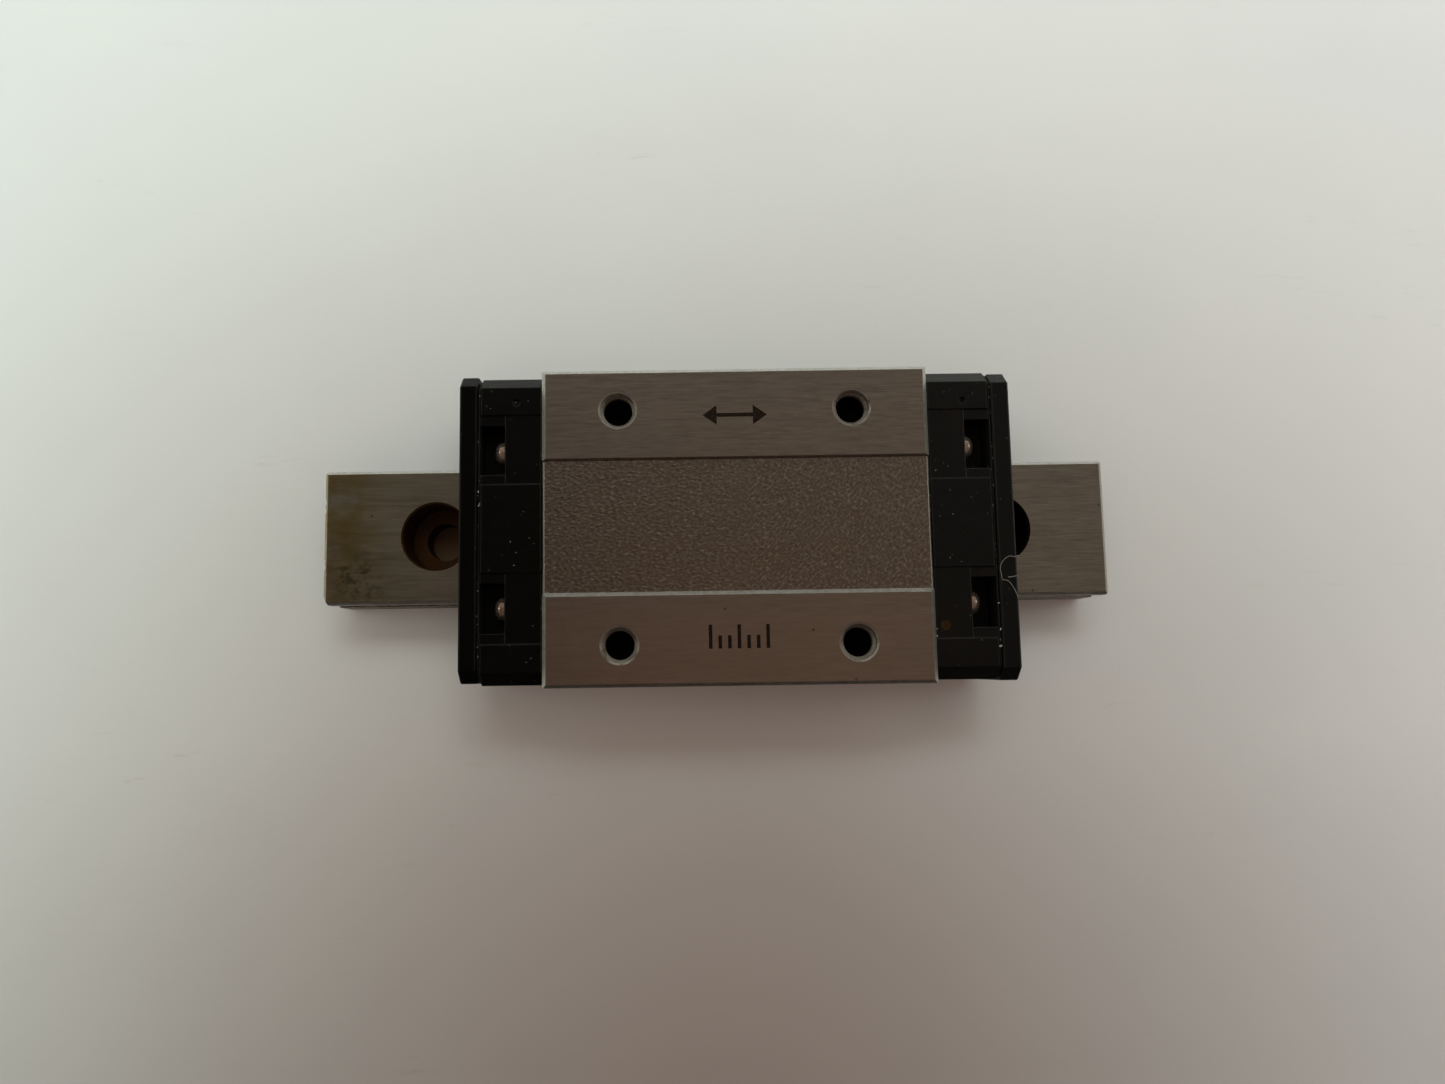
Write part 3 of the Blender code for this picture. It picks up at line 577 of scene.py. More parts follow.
def ground_steel(name, base, roughness, stain=None, redder_near=0.0, lined=1.0):
    """Steel ground in fine lines along X; stain adds oxide, redder_near warms the -Y side."""
    n = Nodes(name)
    lines = n.noise((0.30, 4.5, 4.5), detail=4.0, rough=0.7)
    hair = n.noise((0.55, 9.0, 9.0), detail=2.0, rough=0.6, offset=(3.0, 7.0, 1.0))
    bands = n.noise((0.03, 0.9, 0.9), detail=2.0, rough=0.5, offset=(1.0, 2.0, 5.0))
    cloud = n.noise((0.09, 0.16, 0.16), rough=0.55)
    mottle = n.noise((1.1, 1.6, 1.4), detail=4.0, rough=0.65)
    tone = n.plus(n.times(lines, 0.5), n.times(hair, 0.5))
    dark = tuple(c * (1.0 - 0.30 * lined) for c in base)
    light = tuple(c * (1.0 + 0.26 * lined) for c in base)
    colour = n.mix(n.ramp(tone, 0.34, 0.66), dark, light)
    colour = n.tint(colour, bands, 0.35, 0.7, 0.22, toned(base, 0.82))
    colour = n.tint(colour, cloud, 0.35, 0.7, 0.30, toned(base, 0.86))
    brown = toned(base, 0.86, 0.72, 0.6)
    colour = n.tint(colour, mottle, 0.50, 0.72, 0.22, brown)
    if redder_near:
        near = n.ramp(n.axis("Y"), -4.0, -8.0, 0.0, redder_near)
        colour = n.mix(near, colour, toned(base, 1.10, 0.90, 0.86))
    if stain:
        colour = stain(n, colour)
    specks = n.voronoi(0.42, offset=(0.4, 0.1, 0.7))
    pits = n.ramp(specks, 0.055, 0.035)
    colour = n.mix(n.times(pits, 0.6), colour, (0.06, 0.04, 0.03))
    rough = n.ramp(tone, 0.3, 0.7, roughness - 0.07, roughness + 0.07)
    rough = n.plus(rough, n.ramp(cloud, 0.4, 0.7, 0.0, 0.05))
    height = n.plus(n.times(hair, 0.5), n.times(lines, 0.8))
    return n.set(
        Base_Color=colour,
        Roughness=rough,
        Metallic=1.0,
        Normal=n.bump(height, 0.007, 0.8, n.rounded(0.05)),
    )


def edge_steel(name, base, roughness):
    """Bright chamfers: paler and smoother than the faces beside them."""
    n = Nodes(name)
    nicks = n.noise(2.2, detail=4.0, rough=0.7)
    lines = n.noise((0.4, 12.0, 12.0), detail=2.0)
    colour = n.mix(n.ramp(nicks, 0.35, 0.65), toned(base, 0.75), base)
    return n.set(
        Base_Color=colour,
        Roughness=n.ramp(lines, 0.3, 0.7, roughness - 0.06, roughness + 0.08),
        Metallic=1.0,
        Normal=n.bump(nicks, 0.02, 0.5),
    )


def blasted_steel(name, base):
    """The rough recess: a cast grain with painted glints in bright dashes, painted shade in darker dashes
    between them, and a few scratches.
    """
    n = Nodes(name)
    fine = n.noise((7.0, 8.0, 7.0), detail=2.5, rough=0.6)
    cloud = n.noise((0.10, 0.16, 0.16))
    mottle = n.noise((0.9, 1.1, 1.0), rough=0.6)
    colour = n.mix(n.ramp(fine, 0.36, 0.66), toned(base, 0.86), toned(base, 1.12))
    colour = n.tint(colour, cloud, 0.4, 0.7, 0.3, toned(base, 0.9, 0.8, 0.74))
    brown = toned(base, 0.8, 0.68, 0.55)
    colour = n.tint(colour, mottle, 0.52, 0.75, 0.25, brown)
    level = n.dashes((3.0, 6.0, 3.0), 0.1)
    slanted = n.dashes((2.8, 5.6, 3.0), -0.8)
    painted_glint_and_shade = n.times(level, n.ramp(n.axis("X"), 3.0, 1.0))
    painted_glint_and_shade = n.plus(painted_glint_and_shade, n.times(slanted, n.ramp(n.axis("X"), 1.0, 3.0)))
    # Painted glints where the dashes run high, painted shade where they run low.
    colour = n.tint(colour, painted_glint_and_shade, 0.54, 0.68, 0.75, toned(base, 1.75))
    colour = n.tint(colour, painted_glint_and_shade, 0.46, 0.34, 0.55, toned(base, 0.62))
    marks = n.near_line((16.1, 1.5), (17.1, 2.1), 0.05)
    for start, end in RECESS_SCRATCHES:
        marks = n.most(marks, n.near_line(start, end, 0.05))
    colour = n.mix(n.times(marks, 0.7), colour, toned(base, 1.9))
    return n.set(
        Base_Color=colour,
        Roughness=n.ramp(fine, 0.3, 0.7, 0.36, 0.28),
        Metallic=1.0,
        Normal=n.bump(fine, 0.010, 0.7),
    )


def rusted_hole(name, rust, steel, cover_low=0.30, mouth=None):
    """Walls of a screw hole: patches of rust over dull steel; below mouth, a height, painted shade takes
    them to black.
    """
    n = Nodes(name)
    patches = n.noise(0.8, detail=5.0, rough=0.65)
    grit = n.noise(6.0, rough=0.7)
    cover = n.ramp(patches, cover_low, cover_low + 0.22)
    pale = toned(rust, 1.9)
    brown = n.mix(n.ramp(grit, 0.3, 0.7), rust, pale)
    colour = n.mix(cover, steel, brown)
    if mouth:
        # Painted shade: the wall darkens to black over 1.5 mm below the mouth.
        painted_shade_deep = n.ramp(n.axis("Z"), mouth, mouth - 1.5)
        colour = n.mix(painted_shade_deep, colour, (0.003, 0.002, 0.002))
    return n.set(
        Base_Color=colour,
        Roughness=n.ramp(cover, 0.0, 1.0, 0.42, 0.85),
        Metallic=n.ramp(cover, 0.0, 1.0, 0.8, 0.0),
        Normal=n.bump(grit, 0.03, 0.7),
        Specular_IOR_Level=0.2,
    )


def black_plastic(name, base, roughness, scuffs=0.5, streak=(0.5, 5.0, 5.0), sheen=0.32):
    """Moulded black plastic with a fine skin, grey scuffs, brownish smears and a few pale specks; its
    edges that do not face -Y carry a painted highlight, and its faces towards -Y a painted shade of weaker
    sheen.
    """
    n = Nodes(name)
    skin = n.noise(6.0, rough=0.6)
    flow = n.noise(streak, rough=0.6)
    cloud = n.noise(0.35)
    grey = tuple(c * 1.8 + 0.0012 for c in base)
    colour = n.mix(n.ramp(flow, 0.45, 0.8, 0.0, scuffs), base, grey)
    brown = toned(base, 2.0, 1.3, 0.8)
    colour = n.tint(colour, cloud, 0.5, 0.75, 0.6, brown)
    dust = n.ramp(n.voronoi(0.95), 0.075, 0.04)
    lint = n.ramp(n.voronoi((2.6, 0.75, 2.0), offset=(0.3, 0.6, 0.1)), 0.06, 0.035)
    spots = n.most(n.times(dust, 0.5), n.times(lint, 0.3))
    # Painted highlight: edges that do not face -Y are paled towards a light grey.
    colour = n.mix(n.painted_edge_highlight(0.12, 0.75), colour, EDGE_HIGHLIGHT_PLASTIC)
    colour = n.mix(spots, colour, (0.12, 0.12, 0.11))
    rough = n.ramp(flow, 0.3, 0.7, roughness - 0.08, roughness + 0.08)
    rough = n.plus(rough, n.times(spots, 0.3))
    height = n.plus(skin, n.times(flow, 0.5))
    return n.set(
        Base_Color=colour,
        Roughness=rough,
        Normal=n.bump(height, 0.010, 0.6, n.rounded(0.11)),
        # Painted shade: faces that look towards -Y keep a fifth of the sheen.
        Specular_IOR_Level=n.ramp(n.facing_near(), 0.0, 1.0, sheen, sheen * 0.2),
    )


def pale_plastic(name, base):
    n = Nodes(name)
    skin = n.noise(7.0)
    cloud = n.noise(0.5)
    colour = n.mix(n.ramp(cloud, 0.35, 0.7), toned(base, 0.86), base)
    return n.set(
        Base_Color=colour,
        Roughness=n.ramp(skin, 0.3, 0.7, 0.38, 0.52),
        Normal=n.bump(skin, 0.01, 0.5),
        Subsurface_Weight=0.05,
    )


def seal_sheet(name, base):
    """The seal's cut edge: grey rubber with pale specks caught in the seam."""
    n = Nodes(name)
    fleck = n.noise(2.0, detail=4.0, rough=0.7)
    grit = n.noise(12.0, detail=2.0)
    colour = n.mix(n.ramp(fleck, 0.4, 0.66), toned(base, 0.45), base)
    pale = n.ramp(n.voronoi(0.9), 0.12, 0.06, 0.0, 0.6)
    colour = n.mix(pale, colour, (0.3, 0.3, 0.28))
    return n.set(
        Base_Color=colour,
        Roughness=n.ramp(fleck, 0.3, 0.7, 0.6, 0.8),
        Normal=n.bump(grit, 0.02, 0.6),
    )


def bright_steel(name, base, roughness, metallic=1.0):
    """Screws, wires and balls: polished steel with faint hairlines and a warm tarnish."""
    n = Nodes(name)
    hair = n.noise((14.0, 3.0, 14.0))
    tarnish = n.noise(1.2, detail=4.0, rough=0.6)
    warm = toned(base, 0.86, 0.70, 0.62)
    return n.set(
        Base_Color=n.mix(n.ramp(tarnish, 0.4, 0.68, 0.0, 0.8), base, warm),
        Roughness=n.ramp(hair, 0.3, 0.7, roughness * 0.8, roughness * 1.3),
        Metallic=metallic,
        Normal=n.bump(hair, 0.003, 0.4),
    )


def etched_mark(name):
    """Laser-darkened steel, broken up like a burnt mark."""
    n = Nodes(name)
    burn = n.noise((5.0, 9.0, 5.0), rough=0.7)
    colour = n.mix(n.ramp(burn, 0.46, 0.70), (0.008, 0.004, 0.002), (0.045, 0.030, 0.022))
    return n.set(
        Base_Color=colour,
        Roughness=0.7,
        Specular_IOR_Level=0.15,
        Normal=n.bump(burn, 0.01, 0.6),
    )


def floor_paper(name):
    """A pale matt board: cooler on the left, warmer on the right, with smudges, scuffs and specks. Painted
    shade makes it brown under the rail's holes and darker towards -Y, and beyond y = -56 it is dark for
    every ray but the camera's.
    """
    n = Nodes(name)
    fibre = n.noise(2.5, detail=4.0, rough=0.6)
    smudge = n.noise((0.028, 0.034, 0.03), detail=4.0, rough=0.55)
    scuff = n.noise((0.16, 0.8, 0.2), detail=4.0, rough=0.7, offset=(0.3, 0.2, 0.0))
    where = n.noise((0.045, 0.06, 0.05), detail=2.0, offset=(4.0, 1.0, 0.0))
    side = n.ramp(n.axis("X"), -70.0, 70.0)
    paper = n.mix(side, (0.795, 0.815, 0.775), (0.82, 0.785, 0.765))
    colour = n.mix(n.ramp(smudge, 0.38, 0.72, 0.0, 0.5), paper, (0.75, 0.745, 0.725))
    marks = n.times(n.ramp(scuff, 0.60, 0.72), n.ramp(where, 0.56, 0.66))
    colour = n.mix(n.times(marks, 0.35), colour, (0.60, 0.57, 0.49))
    specks = n.ramp(n.voronoi(0.045), 0.013, 0.008)
    colour = n.mix(n.times(specks, 0.75), colour, (0.10, 0.08, 0.07))
    # Painted shade: a brown spot on the board under each of the rail's through holes.
    for x in RAIL_HOLES:
        rust = n.near_line((x, 0.0), (x, 0.0), 5.0)
        colour = n.mix(rust, colour, (0.15, 0.085, 0.042))
    # Painted shade: the board darkens towards -Y.
    painted_shade_near = n.ramp(n.axis("Y"), -18.0, -48.0, 0.06, 0.26)
    colour = n.mix(painted_shade_near, colour, (0.10, 0.085, 0.07))
    # Painted shade: beyond y = -56 the board turns dark for every ray but the camera's.
    seen = n.rays("Camera")
    far = n.times(n.ramp(n.axis("Y"), -56.0, -60.0), n.math("SUBTRACT", 1.0, seen))
    colour = n.mix(far, colour, (0.06, 0.05, 0.045))
    return n.set(
        Base_Color=colour,
        Roughness=0.75,
        Normal=n.bump(fibre, 0.03, 0.4),
        Specular_IOR_Level=0.3,
    )


def rail_stain(n, colour):
    """Yellow-green oxide near the rail's left end, a warmer tint beside it and faint bands along it."""
    x = n.axis("X")
    left = n.ramp(x, -18.0, -29.0, 0.1, 1.0)
    cloud = n.noise((0.22, 0.34, 0.3), detail=4.0, rough=0.6, offset=(1.7, 0.2, 0.0))
    colour = n.mix(n.times(left, 0.42), colour, (0.60, 0.54, 0.37))
    ends = n.times(n.ramp(n.math("ABSOLUTE", x), 28.5, 33.0), left)
    cover = n.times(ends, n.ramp(cloud, 0.34, 0.60))
    colour = n.mix(n.times(cover, 0.8), colour, (0.36, 0.26, 0.075))
    blotch = n.noise((0.9, 1.1, 1.0), detail=4.0, rough=0.7, offset=(0.6, 3.1, 0.0))
    where = n.near_line((-32.4, -3.4), (-31.4, -4.2), 2.6)
    dark = n.times(n.ramp(blotch, 0.48, 0.62), where)
    colour = n.mix(n.times(dark, 0.8), colour, (0.16, 0.14, 0.08))
    bands = n.noise((0.10, 1.6, 1.0), rough=0.6, offset=(0.0, 0.4, 0.0))
    green = n.times(n.ramp(bands, 0.56, 0.72), n.times(left, 0.4))
    return n.mix(green, colour, (0.26, 0.23, 0.10))


# ---------------------------------------------------------------- rail


def rail_half(groove_steps=12):
    """Half of the rail's section: a groove for the balls with a relief notch at its root."""
    opening = opening_angle(GROOVE_RADIUS, RAIL_HALF_WIDTH)
    relief = math.degrees(math.asin(0.25 / GROOVE_RADIUS))
    half = [(5.75, RAIL_TOP, 0.05), (RAIL_HALF_WIDTH, 7.25, 0.05)]
    half += arc((GROOVE_Y, GROOVE_Z), GROOVE_RADIUS, opening, 180.0 - relief, groove_steps)
    half += [(4.6, 5.1), (4.6, 4.7)]
    half += arc((GROOVE_Y, GROOVE_Z), GROOVE_RADIUS, 180.0 + relief, 360.0 - opening, groove_steps)
    return half + [(RAIL_HALF_WIDTH, 0.35, 0.08), (5.65, 0.0, 0.08)]


def build_rail(steel, flank, edge, hole, painted_shade_lining, raceway):
    low = float(RAIL_LOW[0])
    high = float(RAIL_HIGH[0]) - 0.2
    rail = prism("rail_body", both_sides(rail_half()), low, high, 0.12, steel)
    tools = []
    for x in RAIL_HOLES:
        mouth = COUNTERBORE + 0.12
        bore = [(0.0, -1.0), (2.1, -1.0), (2.1, 0.0), (RAIL_BORE, 0.35), (RAIL_BORE, COUNTERBORE_FLOOR)]
        bore += [(COUNTERBORE, COUNTERBORE_FLOOR), (COUNTERBORE, 7.28), (mouth, 7.42)]
        bore += [(mouth, 8.5), (0.0, 8.5)]
        # The bore at x = 25 takes the near-black lining: painted shade.
        lining = painted_shade_lining if x > 0.0 else hole
        tools.append(lathe(f"bore_{x}", bore, (x, 0.0, 0.0), "Z", 72, lining))
    tools += end_grooves("end_wedge", low, high, 8.0, 0.18, RAIL_TOP, steel)
    for sign_x, sign_y, reach_x, reach_y in RAIL_CORNERS:
        x = high if sign_x > 0 else low
        y = sign_y * RAIL_HALF_WIDTH
        corner = [(x - sign_x * reach_x, y), (x - sign_x * reach_x, y + sign_y), (x + sign_x, y + sign_y)]
        corner += [(x + sign_x, y - sign_y * reach_y), (x, y - sign_y * reach_y)]
        tools.append(upright(f"corner_{sign_x}_{sign_y}", [corner], -1.0, 9.0, flank))
    for y, size, x_shift in RAIL_NICKS:
        profile = [(0.0, -0.9), (size * 0.8, -0.3), (size, 0.3), (0.0, 0.9)]
        tools.append(lathe(f"nick_{y}", profile, (low + x_shift, y, 7.45), "Z", 14, flank))
    carve(rail, tools)
    slots = slot_numbers(rail.data, (edge, raceway, flank))
    for polygon in rail.data.polygons:
        centre = polygon.center
        normal = polygon.normal
        if polygon.material_index != slots[steel.name]:
            continue
        if abs(normal.y) > 0.3 and normal.z > 0.3 and centre.z > 7.0:
            polygon.material_index = slots[edge.name]
        elif 3.4 < centre.z < 6.4 and abs(centre.y) < 5.99 and abs(normal.x) < 0.5:
            polygon.material_index = slots[raceway.name]
        # Painted shade: the sides and ends take the darker flank steel.
        elif abs(normal.y) > 0.9 or abs(normal.x) > 0.9:
            polygon.material_index = slots[flank.name]
    return finish_piece(rail, "rail", ["rail"])


# ---------------------------------------------------------------- carriage block


def block_half(foot, crest):
    """Half of the block's section; the pad steps down to the recess between crest and foot."""
    opening = opening_angle(GROOVE_RADIUS, CHANNEL_HALF_WIDTH)
    half = [(foot - 0.05, TOP - 0.46), (foot, TOP - 0.34, 0.06), (crest, TOP, 0.05)]
    width = BLOCK_HALF_WIDTH
    base = BLOCK_UNDERSIDE
    half += [(13.22, TOP, 0.05), (width, TOP - 0.28, 0.05), (width, base + 0.4, 0.06)]
    half += [(width - 0.4, base, 0.06), (6.80, base, 0.05), (CHANNEL_HALF_WIDTH, base + 0.3)]
    half += arc((GROOVE_Y, GROOVE_Z), GROOVE_RADIUS, -opening, opening, 16)
    half += [(CHANNEL_HALF_WIDTH, CHANNEL_TOP - 0.3, 0.1), (CHANNEL_HALF_WIDTH - 0.3, CHANNEL_TOP, 0.1)]
    return half


def thread_ridge(name, centre, material):
    """A helical ridge that stands in from a hole's wall, running out at both ends."""
    turns = (THREAD_TOP - THREAD_BOTTOM) / THREAD_PITCH
    steps = int(turns * 36)
    verts = []
    for step in range(steps + 1):
        angle = 2 * math.pi * turns * step / steps
        z = THREAD_TOP - (THREAD_TOP - THREAD_BOTTOM) * step / steps
        fade = min(1.0, step / 20.0, (steps - step) / 20.0)
        tip = THREAD_ROOT - (THREAD_ROOT - THREAD_CREST) * max(fade, 0.02)
        foot = THREAD_ROOT + 0.04
        for radius, rise in ((foot, 0.235), (tip, 0.045), (tip, -0.045), (foot, -0.235)):
            x = centre[0] + radius * math.cos(angle)
            verts.append((x, centre[1] + radius * math.sin(angle), z + rise))
    return solid(name, verts, skin(steps + 1, 4), material)


def band_noise(rows, columns, step, across, along, lean, seed):
    """Seeded grain on a grid: about across mm wide, along mm long, its length leaning by lean radians."""
    source = np.random.default_rng(seed)
    spectrum = np.fft.fft2(source.standard_normal((rows, columns)))
    ky = np.fft.fftfreq(rows, step)[:, None]
    kx = np.fft.fftfreq(columns, step)[None, :]
    run = (kx * math.cos(lean) + ky * math.sin(lean)) * along
    over = (-kx * math.sin(lean) + ky * math.cos(lean)) * across
    reach = run**2 + over**2
    grain = np.fft.ifft2(spectrum * np.exp(-reach * 2.2) * np.sqrt(reach)).real
    return grain / grain.std()


def build_recess(material, edge):
    """The rough floor of the recess: a closed slab whose top is worked into a cast grain."""
    low = float(BLOCK_LOW[0]) + 0.05
    high = float(BLOCK_HIGH[0]) - 0.05
    half = RECESS_HALF_WIDTH
    step = GRAIN_STEP
    columns = int((high - low) / step) + 1
    rows = int(2 * half / step) + 1
    xs = np.linspace(low, high, columns)
    ys = np.linspace(-half, half, rows)
    level = band_noise(rows, columns, step, 0.19, 0.36, 0.12, 11)
    slanted = band_noise(rows, columns, step, 0.18, 0.38, -0.85, 12)
    fine = band_noise(rows, columns, step, 0.14, 0.18, 0.0, 14)
    swell = band_noise(rows, columns, step, 2.4, 3.4, 0.3, 13)
    drift = np.clip((xs - low) / (high - low) * 1.7 - 0.45, 0.0, 1.0)[None, :]
    drift = np.clip(drift + 0.12 * swell, 0.0, 1.0)
    grain = (level * (1.0 - drift) + slanted * drift) / np.hypot(1.0 - drift, drift)
    rise = 0.0070 * grain + 0.0025 * fine + 0.005 * swell
    edge_x = np.minimum(xs - low, high - xs)
    edge_y = ys + half
    roll_x = -0.13 * np.clip(1.0 - edge_x / 0.14, 0.0, 1.0)
    roll_y = 0.08 * np.clip(1.0 - edge_y / 0.22, 0.0, 1.0) ** 2
    surface = RECESS_SURFACE + rise + roll_x[None, :] + roll_y[:, None]
    verts = [(xs[c], ys[r], surface[r, c]) for r in range(rows) for c in range(columns)]
    faces = grid(rows, columns)
    order = np.arange(rows * columns).reshape(rows, columns)
    rim = [*order[0, :-1], *order[:-1, -1], *order[-1, :0:-1], *order[:0:-1, 0]]
    rim = [int(index) for index in rim]
    lower = [rows * columns + place for place in range(len(rim))]
    verts += [(verts[index][0], verts[index][1], RECESS_FLOOR) for index in rim]
    for place in range(len(rim)):
        faces.append((rim[place], rim[place - 1], lower[place - 1], lower[place]))
    faces.append(tuple(reversed(lower)))
    item = solid("block_recess_floor", verts, faces, material)
    item.data.materials.append(edge)
    for polygon in item.data.polygons:
        if min(polygon.center.x - low, high - polygon.center.x) < 0.13:
            polygon.material_index = 1
    return finish_piece(item, "carriage", (), 80.0)


def build_block(steel, edge, recess, hole, bottom, raceway, side_steel):
    low = float(BLOCK_LOW[0])
    high = float(BLOCK_HIGH[0])
    section = both_sides(block_half(5.68, 5.85), block_half(5.56, 5.88))
    body = prism("block_body", section, low, high, 0.09, steel)
    tools = end_grooves("block_wedge", low, high, 15.0, 0.23, TOP, edge)
    for sign_y in (-1, 1):
        bore = [(0.0, -40.0), (1.3, -40.0), (1.3, 40.0), (0.0, 40.0)]
        middle = (CENTRE_X, sign_y * RETURN_Y, GROOVE_Z)
        tools.append(lathe(f"return_{sign_y}", bore, middle, "X", 32, raceway))
        for sign_x in (-1, 1):
            place = (CENTRE_X + sign_x * TAP_AWAY, sign_y * TAP_AWAY, 0.0)
            profile = [(0.0, TOP - 4.6), (1.25, TOP - 4.0), (1.25, TOP - 3.6), (1.5, TOP - 3.4)]
            profile += [(1.5, TOP - 0.16), (1.66, TOP - 0.02), (1.70, TOP + 1.0), (0.0, TOP + 1.0)]
            tools.append(lathe(f"tapped_{sign_x}_{sign_y}", profile, place, "Z", 56, hole))
    carve(body, tools)
    slots = slot_numbers(body.data, (raceway, side_steel, recess, bottom))
    for polygon in body.data.polygons:
        centre = polygon.center
        normal = polygon.normal
        # Painted shade: the tapped holes below TOP - 3.35 take the near-black lining.
        if polygon.material_index == slots[hole.name] and centre.z < TOP - 3.35:
            polygon.material_index = slots[bottom.name]
        if polygon.material_index != slots[steel.name]:
            continue
        inner = abs(centre.y) < 6.0 and centre.z > TOP - 0.7
        if centre.z > TOP - 0.32 and 0.3 < abs(normal.y) < 0.95 and abs(centre.y) > 13.0:
            polygon.material_index = slots[edge.name]
        elif inner and normal.z < 0.98 and abs(normal.y) > 0.2:
            polygon.material_index = slots[edge.name]
        elif inner and centre.z < TOP - 0.2:
            polygon.material_index = slots[recess.name]
        elif abs(normal.y) > 0.9 and abs(centre.y) > 13.0:
            polygon.material_index = slots[side_steel.name]
        elif abs(normal.x) > 0.9 or centre.z < 3.05:
            polygon.material_index = slots[side_steel.name]
        elif abs(centre.y) < 7.7 and centre.z < 8.2:
            polygon.material_index = slots[raceway.name]
    finish_piece(body, "carriage", ["carriage_block"])
    build_recess(recess, edge)
    for name_x, sign_x in SIDES.items():
        for name_y, sign_y in FLANKS.items():
            place = (CENTRE_X + sign_x * TAP_AWAY, sign_y * TAP_AWAY)
            ridge = thread_ridge(f"thread_{name_x}_{name_y}", place, hole)
            finish_piece(ridge, "carriage", (), 50.0)


def etched_marks(material):
    """Plain etched signs on the pads: a two-way arrow for the travel, and a row of bars."""
    y = 9.45
    tip = 2.75
    neck = 1.55
    half = 0.17
    barb = 0.85
    arrow = [(-tip, 0.0), (-neck, barb), (-neck, half), (neck, half), (neck, barb)]
    arrow += [(-x, -rise) for x, rise in arrow]
    flat_sign("mark_travel", [[(CENTRE_X + px, y + py) for px, py in arrow]], material)
    bars = []
    base = -10.4
    for index in range(7):
        x = CENTRE_X - 2.4 + index * 0.8
        tall = 1.0 if index % 3 == 0 else 0.55
        crown = base + 2 * tall
        bars.append([(x - 0.15, base), (x + 0.15, base), (x + 0.15, crown), (x - 0.15, crown)])
    flat_sign("mark_bars", bars, material)


def flat_sign(name, outlines, material):
    item = upright(name, outlines, TOP - 0.03, TOP + 0.004, material)
    finish_piece(item, "carriage", ())


# ---------------------------------------------------------------- end caps, seals, plates


def cap_half(bands):
    """Half of the caps' and plates' section; bands adds the two sunk strips along the caps' tops."""
    half = []
    if bands:
        sunk = CAP_TOP - BAND_DEPTH
        half += [(BAND_INNER - 0.03, CAP_TOP, 0.03), (BAND_INNER + 0.03, sunk, 0.03)]
        half += [(BAND_OUTER - 0.03, sunk, 0.03), (BAND_OUTER + 0.03, CAP_TOP, 0.03)]
    width = CAP_HALF_WIDTH
    half += [(width - CAP_RUN, CAP_TOP, 0.12), (width, CAP_TOP - CAP_DROP, 0.10)]
    half += [(width, CAP_BOTTOM + 0.5, 0.10), (width - 0.5, CAP_BOTTOM, 0.10)]
    width = CHANNEL_HALF_WIDTH
    half += [(width, CAP_BOTTOM, 0.06), (width, CHANNEL_TOP - 0.3, 0.10)]
    return half + [(width - 0.3, CHANNEL_TOP, 0.10)]


def span(side_sign, inner, outer):
    """Lowest and highest x of a stretch given outwards from the block's middle."""
    return sorted((CENTRE_X + side_sign * inner, CENTRE_X + side_sign * outer))


def build_cap(side, side_sign, plastic, dark):
    x0, x1 = span(side_sign, CAP_INNER, CAP_OUTER)
    cap = prism(f"cap_{side}", both_sides(cap_half(True)), x0, x1, 0.09, plastic)
    tools = []
    for flank, flank_sign in FLANKS.items():
        label = f"{side}_{flank}"
        wx = span(side_sign, WINDOW_WALL, CAP_OUTER + 1.0)
        ys = sorted((flank_sign * (BAND_INNER + 0.02), flank_sign * (BAND_OUTER - 0.02)))
        corners = ((wx[0], ys[0], CAP_TOP - SHELF_DEPTH), (wx[1], ys[1], CAP_TOP + 1.0))
        tools.append(block(f"shelf_{label}", *corners, 0.0, plastic))
        ys = sorted((flank_sign * WINDOW_INNER, flank_sign * WINDOW_OUTER))
        corners = ((wx[0], ys[0], WINDOW_FLOOR), (wx[1], ys[1], CAP_TOP + 1.0))
        tools.append(block(f"window_{label}", *corners, 0.06, dark))
        px = span(side_sign, CAP_INNER - 1.0, CAP_INNER + 2.6)
        slot = arc((GROOVE_Y, GROOVE_Z), GROOVE_RADIUS, 90.0, 270.0, 12)
        slot += arc((RETURN_Y, GROOVE_Z), GROOVE_RADIUS, -90.0, 90.0, 12)
        slot = [(flank_sign * y, z) for y, z in slot]
        tools.append(prism(f"pocket_{label}", slot, px[0], px[1], 0.0, dark))
        hx = span(side_sign, CAP_INNER - 1.0, CAP_OUTER)
        hole = [(0.0, 0.0), (0.62, 0.0), (0.62, hx[1] - hx[0]), (0.0, hx[1] - hx[0])]
        start = (hx[0], flank_sign * SCREW_Y, SCREW_Z)
        tools.append(lathe(f"screw_hole_{label}", hole, start, "X", 24, dark))
    for gate_x, gate_y, gate_side in GATE_MARKS:
        if gate_side == side:
            dish = [(0.0, -0.22), (0.22, -0.20), (0.30, -0.14), (0.30, 0.5), (0.0, 0.5)]
            place = (gate_x, gate_y, CAP_TOP)
            tools.append(lathe(f"gate_{side}_{gate_y}", dish, place, "Z", 20, dark))
    gx = span(side_sign, CAP_OUTER - 2.0, CAP_OUTER + 1.0)
    tools.append(grease_bore(f"grease_{side}", gx, dark))
    carve(cap, tools)
    finish_piece(cap, "carriage", [f"end_cap_{side}"])


def grease_bore(name, reach, material):
    """The grease hole's cutter between two x limits."""
    length = reach[1] - reach[0]
    profile = [(0.0, 0.0), (GREASE_RADIUS, 0.0), (GREASE_RADIUS, length), (0.0, length)]
    return lathe(name, profile, (reach[0], 0.0, GREASE_Z), "X", 32, material)


